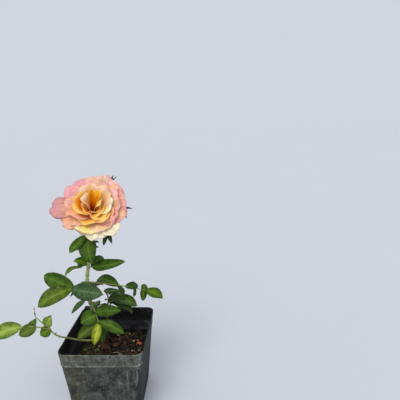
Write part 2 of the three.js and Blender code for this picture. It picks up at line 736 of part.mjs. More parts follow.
const finishes = {
  pot: { color: 0x3d3f40, roughness: 0.75 },
  soil: { color: 0x2e211a, roughness: 1 },
  wood: { color: 0x6d5540, roughness: 0.9 },
  cane: { color: 0x7f9a4c, roughness: 0.6 },
  leaf: { color: 0x3f6528, roughness: 0.5 },
  petal: { color: 0xf2b183, roughness: 0.6 },
};

const bush = new THREE.Group();

function addPiece(name, solid, finish) {
  const material = new THREE.MeshStandardMaterial({ metalness: 0, ...finishes[finish] });
  const mesh = new THREE.Mesh(geometryFrom(solid), material);
  mesh.name = name;
  bush.add(mesh);
}

addPiece('pot', potSolid(), 'pot');
addPiece('potting_mix', soilSolid(), 'soil');
addPiece('woody_foot', footSolid(), 'wood');
for (const name of Object.keys(canes)) {
  addPiece(name, wholeBody(caneLimb(name).subtract(footSolid(gap))), 'cane');
}
addPiece('bloom', bloomSolid(), 'petal');
for (const leaf of [...shownLeaves, ...ruleLeaves.map(byRule)]) {
  addPiece(leaf.name, leafSolid(leaf), 'leaf');
}

export default bush;
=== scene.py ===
import math

import bpy
import numpy as np
from mathutils import Matrix, Vector, noise


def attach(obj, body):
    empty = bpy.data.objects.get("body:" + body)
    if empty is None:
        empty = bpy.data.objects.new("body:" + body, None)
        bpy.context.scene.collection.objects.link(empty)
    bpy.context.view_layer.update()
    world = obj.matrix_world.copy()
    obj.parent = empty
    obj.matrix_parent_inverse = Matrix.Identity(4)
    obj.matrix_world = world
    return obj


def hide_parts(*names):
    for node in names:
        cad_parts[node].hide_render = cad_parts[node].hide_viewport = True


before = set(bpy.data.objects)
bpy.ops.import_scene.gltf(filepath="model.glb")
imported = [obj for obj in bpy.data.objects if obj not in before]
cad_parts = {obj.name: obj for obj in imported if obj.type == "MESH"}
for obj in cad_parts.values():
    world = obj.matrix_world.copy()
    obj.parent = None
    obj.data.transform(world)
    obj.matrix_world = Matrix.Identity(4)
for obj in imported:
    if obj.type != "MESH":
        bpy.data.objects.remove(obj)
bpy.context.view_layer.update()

mm = 0.001  # the sizes below are in millimetres, as in the part's source
up = Vector((0, 0, 1))
fullTurn = 2 * math.pi
plainTone = (0.5, 0.5, 0.5, 1.0)  # of a point that has no tone of its own
colourMix = {"data_type": "RGBA"}
multiplied = {"data_type": "RGBA", "blend_type": "MULTIPLY", 0: 1.0}


def linear(colour, strength=1.0):
    # makes an sRGB hex value linear; a number is a grey and a tuple a colour that are linear already
    if isinstance(colour, tuple):
        return colour
    if not isinstance(colour, str):
        return (colour, colour, colour, 1.0)
    parts = [int(colour[i:i + 2], 16) / 255 for i in (1, 3, 5)]
    parts = [p / 12.92 if p <= 0.04045 else ((p + 0.055) / 1.055) ** 2.4 for p in parts]
    return tuple(strength * p for p in parts) + (1.0,)


def blendOf(first, second, share):
    return tuple(a + (b - a) * share for a, b in zip(first, second))


def smoothStep(low, high, value):
    t = min(1.0, max(0.0, (value - low) / (high - low)))
    return t * t * (3 - 2 * t)


def seeded(seed):  # the generator that places the same leaves in the part's source
    state = [(seed * 2654435761) & 0xFFFFFFFF]

    def draw():
        state[0] = (state[0] + 0x6D2B79F5) & 0xFFFFFFFF
        mixed = ((state[0] ^ (state[0] >> 15)) * (1 | state[0])) & 0xFFFFFFFF
        mixed = ((mixed + (((mixed ^ (mixed >> 7)) * (61 | mixed)) & 0xFFFFFFFF)) ^ mixed) & 0xFFFFFFFF
        return (mixed ^ (mixed >> 14)) / 4294967296

    return draw


def setNode(tree, node, settings):
    # a key is a property, or the place or name of a socket; a node or a socket as its value is linked
    for key, value in settings.items():
        if isinstance(value, bpy.types.Node):
            value = next(socket for socket in value.outputs if socket.enabled)
        if key == "stops":  # places and colours along a ramp
            band = node.color_ramp.elements
            while len(band) < len(value):
                band.new(0.5)
            for element, (position, colour) in zip(band, value):
                element.position = position
                element.color = linear(colour)
        elif isinstance(key, str) and key in node.bl_rna.properties.keys():
            setattr(node, key, value)
        elif isinstance(value, bpy.types.NodeSocket):
            tree.links.new(value, node.inputs[key])
        else:
            node.inputs[key].default_value = linear(value) if isinstance(value, str) else value
    return node


def addNode(tree, kind, settings=None):
    return setNode(tree, tree.nodes.new(kind), settings or {})


def newMaterial(name, settings):
    material = bpy.data.materials.new(name)
    material.use_nodes = True
    tree = material.node_tree
    return material, tree, setNode(tree, tree.nodes["Principled BSDF"], settings)


def patternedMaterial(name, settings, pattern, stops, relief, onSheet=False, overTones=False, wash=None):
    # one noise, given by its stretch, scale, detail and roughness, gives the colours and the relief, which
    # is a strength and a depth in mm. It lies by place or on the sheet, overTones makes its stops shade the
    # piece's own tones, and a wash is a share and a colour over it all
    material, tree, shader = newMaterial(name, settings)
    if onSheet:
        coords = addNode(tree, "ShaderNodeUVMap", {"uv_map": "sheet"})
    else:
        coords = addNode(tree, "ShaderNodeTexCoord").outputs["Object"]
    stretch, scale, detail, rough = pattern
    lay = addNode(tree, "ShaderNodeMapping", {"Scale": stretch, "Vector": coords})
    grain = addNode(tree, "ShaderNodeTexNoise",
                    {"Scale": scale, "Detail": detail, "Roughness": rough, "Vector": lay})
    colour = addNode(tree, "ShaderNodeValToRGB", {"stops": stops, 0: grain})
    if overTones:
        tone = addNode(tree, "ShaderNodeAttribute", {"attribute_name": "tone"})
        colour = addNode(tree, "ShaderNodeMix", {**multiplied, 6: tone, 7: colour})
    if wash:
        colour = addNode(tree, "ShaderNodeMix", {**colourMix, 0: wash[0], 6: colour, 7: wash[1]})
    strength, depth = relief
    bump = addNode(tree, "ShaderNodeBump", {"Strength": strength, "Distance": depth * mm, "Height": grain})
    setNode(tree, shader, {"Base Color": colour, "Normal": bump})
    return material


def newTree(name, inputs, result):
    # a Geometry Nodes tree; an input's value is its default, or the kind of its socket where it has none
    tree = bpy.data.node_groups.new(name, "GeometryNodeTree")
    for label, value in inputs.items():
        kind = value if isinstance(value, str) else {float: "Float", int: "Int"}[type(value)]
        socket = tree.interface.new_socket(label, in_out="INPUT", socket_type="NodeSocket" + kind)
        if kind != value:
            socket.default_value = value
    tree.interface.new_socket(result, in_out="OUTPUT", socket_type="NodeSocketGeometry")
    return tree, addNode(tree, "NodeGroupInput").outputs


def layCopies(tree, points, shape, turn, scale, finish, jag=None):
    # ends a tree: copies of a shape on the points, made real, broken by a jag and painted
    copies = addNode(tree, "GeometryNodeInstanceOnPoints",
                     {"Points": points, "Instance": shape, "Rotation": turn, "Scale": scale})
    real = addNode(tree, "GeometryNodeRealizeInstances", {0: copies})
    if jag:
        real = addNode(tree, "GeometryNodeSetPosition", {"Geometry": real, "Offset": jag})
    paint = addNode(tree, "GeometryNodeSetMaterial", {"Geometry": real, "Material": finish})
    addNode(tree, "NodeGroupOutput", {0: paint})
    return tree


def applyModifiers(piece):
    bpy.context.view_layer.update()
    result = bpy.data.meshes.new_from_object(piece.evaluated_get(bpy.context.evaluated_depsgraph_get()))
    piece.modifiers.clear()
    piece.data = result
    return piece


def fromNodes(name, mesh, tree, settings):
    # runs a tree on a copy of a mesh and keeps the result as a plain mesh
    piece = bpy.data.objects.new(name, mesh.copy())
    bpy.context.scene.collection.objects.link(piece)
    modifier = piece.modifiers.new(name, "NODES")
    modifier.node_group = tree
    for item in tree.interface.items_tree:
        if item.name in settings:
            modifier[item.identifier] = settings[item.name]
    return applyModifiers(piece)


def circle(sides):
    return [(math.cos(fullTurn * k / sides), math.sin(fullTurn * k / sides)) for k in range(sides)]


class Sheets:  # gathers grids of points that become one mesh
    def __init__(self):
        self.points, self.faces, self.places, self.tones, self.kinds = [], [], [], [], []

    def addGrid(self, rows, places=None, tones=None, around=False, kind=0):
        # rows run along, points across; places are the sheet coordinates of each point
        start, count = len(self.points), len(rows[0])
        for j, row in enumerate(rows):
            self.points += row
            self.tones += tones[j] if tones else [plainTone] * count
        for j in range(len(rows) - 1):
            for i in range(count if around else count - 1):
                a, b = start + j * count + i, start + j * count + (i + 1) % count
                self.faces.append((a, b, b + count, a + count))
                self.kinds.append(kind)
                corners = ((i, j), (i + 1, j), (i + 1, j + 1), (i, j + 1))
                if places:
                    self.places.append([places[y][x] for x, y in corners])
                else:
                    self.places.append([(x / count, y / (len(rows) - 1)) for x, y in corners])
        return start

    def addCap(self, first, count, flip=False, kind=0):
        # closes a ring of points with a fan round their middle
        hub = len(self.points)
        self.points.append(sum(self.points[first:first + count], Vector()) / count)
        self.tones.append(self.tones[first])
        for i in range(count):
            a, b = first + i, first + (i + 1) % count
            self.faces.append((b, a, hub) if flip else (a, b, hub))
            self.places.append([(0, 0)] * 3)
            self.kinds.append(kind)

    def addClosed(self, rows, places=None, tones=None):
        # a grid that runs round, with both its ends capped
        start, count = self.addGrid(rows, places, tones, around=True), len(rows[0])
        self.addCap(start, count, flip=True)
        self.addCap(start + count * (len(rows) - 1), count)

    def build(self, name, materials):
        mesh = bpy.data.meshes.new(name)
        mesh.from_pydata([Vector(p) * mm for p in self.points], [], self.faces)
        sheetMap = mesh.uv_layers.new(name="sheet")
        flat = [c for corners in self.places for corner in corners for c in corner]
        sheetMap.data.foreach_set("uv", flat)
        tone = mesh.attributes.new("tone", "FLOAT_COLOR", "POINT")
        tone.data.foreach_set("color", [c for t in self.tones for c in t])
        mesh.polygons.foreach_set("material_index", self.kinds)
        mesh.polygons.foreach_set("use_smooth", [True] * len(self.faces))
        for material in materials:
            mesh.materials.append(material)
        mesh.validate()
        mesh.update()
        piece = bpy.data.objects.new(name, mesh)
        bpy.context.scene.collection.objects.link(piece)
        return piece


def thicken(piece, thickness, underside=0, offset=-1.0):
    solidify = piece.modifiers.new("thickness", "SOLIDIFY")
    solidify.thickness = thickness * mm
    solidify.offset = offset
    solidify.material_offset = underside
    return piece


def place(piece, slotName, *nodes):
    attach(piece, "root")
    if nodes:
        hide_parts(*nodes)
    return piece


def smoothPath(through, count, finer=40):
    # centripetal Catmull-Rom through the points, drawn in finer steps and resampled to equal ones
    points = [Vector(p) for p in through]
    points = [points[0] * 2 - points[1], *points, points[-1] * 2 - points[-2]]
    fine = []
    for p0, p1, p2, p3 in zip(points, points[1:], points[2:], points[3:]):
        d0, d1, d2 = [(b - a).length ** 0.5 for a, b in ((p0, p1), (p1, p2), (p2, p3))]
        t1 = ((p1 - p0) / d0 - (p2 - p0) / (d0 + d1) + (p2 - p1) / d1) * d1
        t2 = ((p2 - p1) / d1 - (p3 - p1) / (d1 + d2) + (p3 - p2) / d2) * d1
        for t in (k / finer for k in range(finer)):
            fine.append(p1 + t1 * t + (3 * (p2 - p1) - 2 * t1 - t2) * t * t
                        + (2 * (p1 - p2) + t1 + t2) * t ** 3)
    fine.append(points[-2])
    flat = np.array(fine)
    steps = np.concatenate([[0], np.cumsum(np.linalg.norm(np.diff(flat, axis=0), axis=1))])
    wanted = np.linspace(0, steps[-1], count)
    return [Vector(p) for p in np.stack([np.interp(wanted, steps, flat[:, k]) for k in range(3)], axis=1)]


def addTube(sheets, path, radiusAt, sides, toneAt=None, reliefAt=None):
    # a closed limb along a path; radiusAt, toneAt and reliefAt read the share of the way along it
    across = Vector((1, 0, 0))
    rows, tones, places = [], [], []
    for i, middle in enumerate(path):
        t = i / (len(path) - 1)
        way = (path[min(i + 1, len(path) - 1)] - path[max(i - 1, 0)]).normalized()
        across = (across - way * across.dot(way)).normalized()
        other = way.cross(across)
        row = []
        for k in range(sides):
            angle = fullTurn * k / sides
            radius = radiusAt(t) * (1 + (reliefAt(t, angle) if reliefAt else 0))
            row.append(middle + (across * math.cos(angle) + other * math.sin(angle)) * radius)
        rows.append(row)
        tones.append([toneAt(t) if toneAt else plainTone] * sides)
        places.append([(k / sides, t) for k in range(sides + 1)])
    sheets.addClosed(rows, places, tones)


# Camera at the photograph's place, fitted to the four corners of the pot's rim
cameraSettings = {"place": (133, -435, 424), "down": 14.2, "lens": 30.24}

lens = bpy.data.cameras.new("camera")
lens.lens = cameraSettings["lens"]
lens.sensor_width = 36
camera = bpy.data.objects.new("camera", lens)
camera.location = Vector(cameraSettings["place"]) * mm
camera.rotation_euler = (math.radians(90 - cameraSettings["down"]), 0, 0)
bpy.context.scene.collection.objects.link(camera)
bpy.context.scene.camera = camera
bpy.context.scene.view_settings.view_transform = "Standard"
print("camera placed")

# Studio: a pale floor under a pale sky, and wide soft lamps that light all of the floor alike
studio = {
    "floorColour": "#c0c4cb", "floorReach": 20000,
    "skyColour": "#ced3dc", "skyStrength": 1.02,
    "lamps": [
        # name, where it shines from, width of the source in degrees, strength, colour
        ("key", (-0.34, -0.92, 1.2), 40, 1.9, "#fffaf0"),
        ("fill", (0.9, -0.5, 0.7), 60, 0.2, "#fff6ea"),
        ("rim", (-0.2, 0.9, 0.9), 50, 0.3, "#ffffff"),
    ],
}


def makeStudio(look):
    world = bpy.data.worlds.new("sky")
    world.use_nodes = True
    sky = world.node_tree.nodes["Background"]
    setNode(world.node_tree, sky, {0: look["skyColour"], 1: look["skyStrength"]})
    bpy.context.scene.world = world
    # Matte paint, rolled on: pale and a little cloudy, with no gloss to mirror the lamps
    floorPaint, tree, shader = newMaterial("matte floor paint", {"Roughness": 1.0, "Specular IOR Level": 0.1})
    coords = addNode(tree, "ShaderNodeTexCoord").outputs["Object"]
    cloud = addNode(tree, "ShaderNodeTexNoise", {"Scale": 1.5, "Detail": 2.0, "Vector": coords})
    worn, clean = linear(look["floorColour"], 0.97), look["floorColour"]
    colour = addNode(tree, "ShaderNodeMix", {**colourMix, 0: cloud, 6: worn, 7: clean})
    setNode(tree, shader, {"Base Color": colour})
    reach = look["floorReach"]
    sheets = Sheets()
    sheets.addGrid([[Vector((x * reach, y * reach, 0)) for x in (-1, 1)] for y in (-1, 1)])
    sheets.build("floor", [floorPaint])
    for name, way, width, strength, colour in look["lamps"]:
        data = bpy.data.lights.new(name, "SUN")
        data.angle, data.energy = math.radians(width), strength
        data.color = linear(colour)[:3]
        lamp = bpy.data.objects.new(name, data)
        lamp.location = Vector(way)
        lamp.rotation_euler = Vector(way).to_track_quat("Z", "Y").to_euler()
        bpy.context.scene.collection.objects.link(lamp)


makeStudio(studio)
print("studio lit")

# The pot: thin moulded polypropylene, square and tapered, with a wider band at the rim
pot = {
    "rimWidth": 115, "bodyWidth": 110.4, "baseWidth": 94, "height": 118, "rimBand": 20, "step": 1.2,
    "wall": 1.6, "bandTaper": 1.9, "floor": 2, "footBevel": 1.5, "rimCorner": 11, "baseCorner": 9,
    "steps": (10, 14),  # of a corner and of a side
    "courses": 14, "innerCourses": 10,
    "bow": 0.5, "warp": 0.45, "warpSize": 38,  # how far the thin walls bulge and stray
    "drainRadius": 4, "drainFromMiddle": 30, "drainSides": 24,
}
bandFoot = pot["height"] - pot["rimBand"]
innerFoot = pot["baseWidth"] / 2 - pot["wall"]
innerTop = pot["bodyWidth"] / 2 - pot["wall"]
onBand = (2, bandFoot - 0.5, bandFoot + 1, 0, 1)
potFinish = {
    # patterns in the dust: scale, detail, roughness, stretch, move
    "noises": {
        "clouds": (42, 6, 0.6, (1, 1, 1), (0, 0, 0)),  # patches of about 25 mm
        "mottle": (85, 7, 0.7, (1, 1, 0.8), (2, 5, 1)),  # of about 12 mm
        "runs": (330, 4, 0.6, (1, 1, 0.1), (3, 1, 0)),  # 3 mm wide, long down the wall
        "specks": (520, 3, 0.7, (1, 1, 1), (0, 0, 0)),  # dried splashes of 1 to 2 mm
        "scuffs": (60, 5, 0.75, (1, 1, 0.55), (9, 4, 2)),
        "blots": (260, 6, 0.75, (1, 1, 1), (1, 8, 3)),  # rough patches of 3 to 4 mm
    },
    "plastic": [(0.36, "#161918"), (0.5, "#272b29"), (0.66, "#3c403d")],
    # each film on it, the last of them painted shade: colour, pattern, where on that it starts and is full,
    # how thick, and for each axis that it keeps to, two places in mm and the film's share at each
    "filmsAndShade": [
        ("#5c605b", "mottle", 0.42, 0.66, 0.75, []),
        ("#4a4433", "clouds", 0.36, 0.56, 0.75, [(0, -10, -48, 0, 1)]),  # brown dust to the left
        ("#8c9089", "runs", 0.54, 0.68, 0.7, [(0, 10, 50, 0.1, 0.9)]),  # pale streaks, stronger to the right
        ("#83877f", "scuffs", 0.57, 0.7, 0.65, []),
        ("#73776f", "mottle", 0.3, 0.6, 0.55, [onBand]),
        ("#969a90", "scuffs", 0.44, 0.62, 0.7, [onBand, (2, bandFoot + 1.6, bandFoot + 2.6, 1, 0)]),  # bead
        ("#a5a79f", "specks", 0.6, 0.72, 0.4, []),
        # painted shade: a near-black film that darkens the right wall behind the front face
        ("#161818", "mottle", 0.15, 0.4, 0.9, [(0, 42, 47, 0, 1), (1, -53, -46, 0, 1)]),  # painted shade
    ],
    "grime": [(0.38, 0.62), (0.6, (1.2, 1.2, 1.14, 1))],
    "inner": [(0.4, "#0e0f11"), (0.52, "#191919"), (0.64, "#302e2a")],
    "innerDust": [(0.4, "#26252a"), (0.52, "#3d3b40"), (0.64, "#5a564f")],
}


def squareRing(half, corner, z, steps, bow=0.0):
    # one turn of a rounded square, counter-clockwise seen from above, sides bowed by bow
    ring = []
    inner = half - corner
    for quarter in range(4):
        turn = Matrix.Rotation(math.pi / 2 * quarter, 3, "Z")
        for k in range(steps[0]):
            angle = math.pi / 2 * k / steps[0]
            x, y = inner + corner * math.cos(angle), inner + corner * math.sin(angle)
            ring.append(turn @ Vector((x, y, 0)))
        for k in range(steps[1]):
            share = k / steps[1]
            ring.append(turn @ Vector((inner * (1 - 2 * share), half + bow * math.sin(math.pi * share), 0)))
    for point in ring:
        point.z = z
    return ring


def makePotPlastic(look):
    # Black polypropylene, injection moulded with carbon-black regrind: a low satin gloss under a film of
    # potting dust, browner to the left, scuffed here and there and dustier on the band, with pale streaks
    # down the right of the wall and painted shade that darkens the right wall behind the front face
    gloss = {"IOR": 1.49, "Specular IOR Level": 0.22}
    material, tree, shader = newMaterial("dusty moulded polypropylene", gloss)
    coords = addNode(tree, "ShaderNodeTexCoord").outputs["Object"]
    parts = addNode(tree, "ShaderNodeSeparateXYZ", {0: coords})
    dust = {}
    for name, (scale, detail, rough, stretch, move) in look["noises"].items():
        lay = addNode(tree, "ShaderNodeMapping", {"Scale": stretch, "Location": move, "Vector": coords})
        dust[name] = addNode(tree, "ShaderNodeTexNoise",
                             {"Scale": scale, "Detail": detail, "Roughness": rough, "Vector": lay})
    colour = addNode(tree, "ShaderNodeValToRGB", {"stops": look["plastic"], 0: dust["clouds"]})
    for film, pattern, bare, full, most, limits in look["filmsAndShade"]:
        spread = addNode(tree, "ShaderNodeValToRGB", {"stops": [(bare, 0.0), (full, most)], 0: dust[pattern]})
        for axis, low, high, first, last in limits:
            fade = addNode(tree, "ShaderNodeMapRange",
                           {0: parts.outputs[axis], 1: low * mm, 2: high * mm, 3: first, 4: last})
            spread = addNode(tree, "ShaderNodeMath", {"operation": "MULTIPLY", 0: spread, 1: fade})
        colour = addNode(tree, "ShaderNodeMix", {**colourMix, 0: spread, 6: colour, 7: film})
    grime = addNode(tree, "ShaderNodeValToRGB", {"stops": look["grime"], 0: dust["blots"]})
    colour = addNode(tree, "ShaderNodeMix", {**multiplied, 6: colour, 7: grime})
    rough = addNode(tree, "ShaderNodeMapRange", {0: dust["mottle"], 3: 0.45, 4: 0.85})
    grain = addNode(tree, "ShaderNodeMath", {"operation": "ADD", 0: dust["specks"], 1: dust["mottle"]})
    bump = addNode(tree, "ShaderNodeBump", {"Strength": 0.5, "Distance": 0.7 * mm, "Height": grain})
    setNode(tree, shader, {"Base Color": colour, "Roughness": rough, "Normal": bump})
    return material


def makePotInner(look):
    # The same plastic inside, darker and streaked by the mix, with a dusty tide line under the band
    gloss = {"IOR": 1.49, "Specular IOR Level": 0.3}
    material, tree, shader = newMaterial("soil-stained polypropylene", gloss)
    coords = addNode(tree, "ShaderNodeTexCoord").outputs["Object"]
    high = addNode(tree, "ShaderNodeSeparateXYZ", {0: coords}).outputs[2]
    flat = addNode(tree, "ShaderNodeMapping", {"Scale": (0.35, 0.35, 1.3), "Vector": coords})
    clouds = addNode(tree, "ShaderNodeTexNoise",
                     {"Scale": 150.0, "Detail": 6.0, "Roughness": 0.65, "Vector": flat})
    clean = addNode(tree, "ShaderNodeValToRGB", {"stops": look["inner"], 0: clouds})
    dusty = addNode(tree, "ShaderNodeValToRGB", {"stops": look["innerDust"], 0: clouds})
    low = addNode(tree, "ShaderNodeMapRange", {0: high, 1: bandFoot * mm, 2: (bandFoot - 2) * mm})
    colour = addNode(tree, "ShaderNodeMix", {**colourMix, 0: low, 6: clean, 7: dusty})
    rough = addNode(tree, "ShaderNodeMapRange", {0: clouds, 3: 0.45, 4: 0.8})
    bump = addNode(tree, "ShaderNodeBump", {"Strength": 0.3, "Distance": 0.6 * mm, "Height": clouds})
    setNode(tree, shader, {"Base Color": colour, "Roughness": rough, "Normal": bump})
    return material


def makeDrill(size):
    # four round pegs where the drain holes go
    pegs = Sheets()
    radius, ends, rim = size["drainRadius"], (-4, size["floor"] + 4), circle(size["drainSides"])
    for x in (-1, 1):
        for y in (-1, 1):
            middle = Vector((x, y, 0)) * size["drainFromMiddle"]
            pegs.addClosed([[middle + Vector((radius * c, radius * s, z)) for c, s in rim] for z in ends])
    return pegs.build("drill", [])


def makePot(size, look):
    base, body, rim = size["baseWidth"] / 2, size["bodyWidth"] / 2, size["rimWidth"] / 2
    wall, taper, bevel, top = size["wall"], size["bandTaper"], size["footBevel"], size["height"]
    corner, baseCorner, under = size["rimCorner"], size["baseCorner"], bandFoot - size["step"]
    # the courses of the wall: half width, corner, height, bow
    outside = [
        (base - bevel, baseCorner - bevel, 0, 0),
        (base - 0.4, baseCorner - 0.4, 0.5, 0),
        (base, baseCorner, bevel, 0.05),
    ]
    for k in range(1, size["courses"] + 1):
        share = k / size["courses"]
        outside.append((base + (body - base) * share, baseCorner + (corner - baseCorner) * share,
                        bevel + (under - bevel) * share, -size["bow"] * math.sin(math.pi * share)))
    outside += [
        (body + 0.3, corner, under + 0.3, 0),
        (rim - taper - 0.1, corner, bandFoot - 0.3, 0.1),
        (rim - taper + 0.35, corner, bandFoot + 0.2, 0.15),
        (rim - taper + 0.5, corner, bandFoot + 0.8, 0.2),
        (rim - taper + 0.35, corner, bandFoot + 1.4, 0.2),
        (rim - taper + 0.12, corner, bandFoot + 2.2, 0.2),
        (rim - taper * 0.7, corner, bandFoot + 6, 0.25),
        (rim - taper * 0.35, corner, bandFoot + 13, 0.28),
        (rim - 0.25, corner, top - 3, 0.3),
        (rim, corner, top - 0.9, 0.35),
        (rim - 0.1, corner, top - 0.25, 0.35),
        (rim - 0.45, corner, top, 0.35),
    ]
    inside = [(half, corner - wall, z, bow) for half, z, bow in (
        (rim - wall + 0.3, top - 0.1, 0.35),
        (rim - wall, top - 0.6, 0.35),
        (rim - wall - taper * 0.7, bandFoot + 6, 0.25),
        (rim - taper - wall, bandFoot + 1.2, 0.2),
        (rim - taper - 0.4 - wall, bandFoot + 0.6, 0.1),
        (innerTop + 0.4, under + 1.0, 0),
        (innerTop, under + 0.2, 0),
    )]
    for k in range(1, size["innerCourses"] + 1):
        share = 1 - k / size["innerCourses"]
        inside.append((innerFoot + (innerTop - innerFoot) * share, corner - wall - 1.5 * (1 - share),
                       size["floor"] + (under - size["floor"]) * share,
                       -size["bow"] * math.sin(math.pi * share)))
    courses = [squareRing(half, bend, z, size["steps"], bow) for half, bend, z, bow in outside + inside]
    for point in [point for ring in courses for point in ring]:  # the thin wall is never quite true
        stray = noise.noise(point / size["warpSize"]) * size["warp"] * smoothStep(4, 40, point.z)
        point += Vector((point.x, point.y, 0)).normalized() * stray
    count = len(courses[0])
    sheets = Sheets()
    start = sheets.addGrid(courses[:len(outside) + 1], around=True, kind=0)
    sheets.addGrid(courses[len(outside):], around=True, kind=1)
    sheets.addCap(start, count, flip=True, kind=0)
    sheets.addCap(len(sheets.points) - 1 - count, count, kind=1)
    piece = sheets.build("potShell", [makePotPlastic(look), makePotInner(look)])
    piece.modifiers.new("merge", "WELD").merge_threshold = 0.00001
    drill = makeDrill(size)
    cut = piece.modifiers.new("drains", "BOOLEAN")
    cut.operation, cut.solver, cut.object = "DIFFERENCE", "EXACT", drill
    applyModifiers(piece)
    bpy.data.objects.remove(drill)
    place(piece, "pot", "pot")


makePot(pot, potFinish)
print("pot moulded")

# Potting mix: a lumpy bed with crumbs, bark and grit pressed into it
soil = {
    "level": 80, "relief": 2.2, "reliefSize": 14, "lumps": 0.9, "lumpSize": 5,
    "gap": 0.36, "corner": 8, "steps": (8, 22), "rings": 44,  # the bed's outline just inside the wall
    # name, how many, smallest and largest in mm, flatness, seed, then the material's name, dark, light and
    # roughness
    "bits": [
        ("soilCrumbs", 560, (1.2, 5.0), 0.9, 4, ("dark peat crumbs", "#060403", "#3e2c1e", 0.95)),
        ("barkBits", 60, (3.0, 8.5), 0.45, 9, ("composted bark", "#150d08", "#6a4a30", 0.85)),
        ("mossTufts", 22, (2.4, 4.6), 0.6, 33, ("moss on the mix", "#1c210c", "#414a20", 0.95)),
        ("paleChips", 26, (1.6, 5.4), 0.5, 15, ("weathered pale bark", "#6e6650", "#bab594", 0.9)),
    ],
    "jag": 2.2,  # how far the noise breaks them, in mm
    "fibres": 90, "fibreSeed": 80, "fibreSteps": 6,
    "fibreLength": (5, 9), "fibreRadius": (0.16, 0.16),  # the least, and how far it varies
    "fibreBend": 1.6,
    "lumpRings": 13, "lumpSides": 24, "lumpTurn": 50, "uneven": 0.45,
    # name, long, wide, high, turn in degrees, the material's name, dark, light, then where such pieces lie
    "placed": [
        ("orangeBark", 9.5, 7.5, 5.0, 20, ("orange pine bark", "#74380f", "#c88450"),
         [(38.5, 14), (34.5, 18.5)]),
        ("tanBark", 8.5, 4.5, 3.4, -25, ("weathered tan bark", "#5c4c2c", "#a08a58"),
         [(21, 37), (15, 40), (26, 34)]),
        ("paleBark", 8.0, 2.2, 1.6, 4, ("pale dry bark", "#7c8468", "#c4cbae"), [(8, -4), (14, -7)]),
        ("greyBark", 6.5, 2.0, 1.4, 12, ("grey dry bark", "#8a8478", "#cfc8ba"),
         [(32, 0), (37, -3), (41, 1), (28, -5), (23, 0)]),
        ("brownBark", 10.0, 6.0, 4.0, 35, ("brown bark", "#2a170c", "#764c30"),
         [(-2, 25), (6, 27), (15, 14), (25, 22), (4, 12)]),
        ("mossCushion", 7.5, 5.5, 3.6, 0, ("moss cushion", "#27300c", "#5f7026"),
         [(-41, 0), (-36, 3.5), (-30, 6), (-33, -4), (-22, -1), (-40, 9)]),
    ],
}
foot = {
    "x": -13, "y": 12, "height": 24, "lean": (1.2, -0.6), "topRadius": 4.6, "neckRadius": 5.2,
    "flareRadius": 8.6, "flareShare": 0.32, "roots": 4, "rootRelief": 0.16, "unevenness": 0.07,
    "rings": 40, "sides": 40,
}


def soilHeight(x, y):
    rough = noise.fractal(Vector((x, y, 3)) / soil["reliefSize"], 0.9, 2.0, 5) * soil["relief"]
    lumps = noise.noise(Vector((x, y, 9)) / soil["lumpSize"]) * soil["lumps"]
    away = math.hypot(x - foot["x"], y - foot["y"]) - foot["flareRadius"]
    return soil["level"] + (rough + lumps - 0.2) * smoothStep(0, 9, away)  # flat at the foot


def makeSoilMaterial():
    # Peat and composted bark, damp: nearly black with warm brown fibres
    material, tree, shader = newMaterial("damp potting mix", {"Roughness": 0.95, "IOR": 1.4})
    coords = addNode(tree, "ShaderNodeTexCoord").outputs["Object"]
    fine = addNode(tree, "ShaderNodeTexNoise",
                   {"Scale": 480.0, "Detail": 6.0, "Roughness": 0.7, "Vector": coords})  # grit of about 2 mm
    lumps = addNode(tree, "ShaderNodeTexVoronoi", {"Scale": 240.0, "Vector": coords})  # and of about 4 mm
    fibre = addNode(tree, "ShaderNodeValToRGB",
                    {"stops": [(0.36, "#050302"), (0.55, "#150e0a"), (0.7, "#3c2c20")], 0: fine})
    colour = addNode(tree, "ShaderNodeMix", {**colourMix, 0: lumps, 6: fibre, 7: "#080605"})
    height = addNode(tree, "ShaderNodeMath", {"operation": "ADD", 0: fine, 1: lumps})
    bump = addNode(tree, "ShaderNodeBump", {"Strength": 0.9, "Distance": 1.2 * mm, "Height": height})
    setNode(tree, shader, {"Base Color": colour, "Normal": bump})
    return material


def makeBitMaterial(name, dark, light, roughness=0.9):
    # Broken bits, each shaded a little apart by patches of about 6 mm that run through it
    return patternedMaterial(name, {"Roughness": roughness, "IOR": 1.45}, ((1, 1, 1), 170.0, 4.0, 0.7),
                             [(0.42, dark), (0.6, light)], (0.5, 0.6))


def makeSoilBed(size, material):
    half = innerTop - size["gap"] - (innerTop - innerFoot) * (bandFoot - size["level"]) / bandFoot
    edge = squareRing(half, size["corner"], 0, size["steps"])
    rows = [squareRing(innerFoot - 0.4, 6, pot["floor"] + 0.4, size["steps"]),
            squareRing(half - 0.3, size["corner"], size["level"] - 3, size["steps"])]
    for k in range(size["rings"] + 1):
        share = 1 - k / (size["rings"] + 1)
        row = [(point.x * share, point.y * share) for point in edge]
        rows.append([Vector((x, y, soilHeight(x, y))) for x, y in row])
    sheets = Sheets()
    sheets.addClosed(rows)
    return place(sheets.build("soilBed", [material]), "potting_mix", "potting_mix")


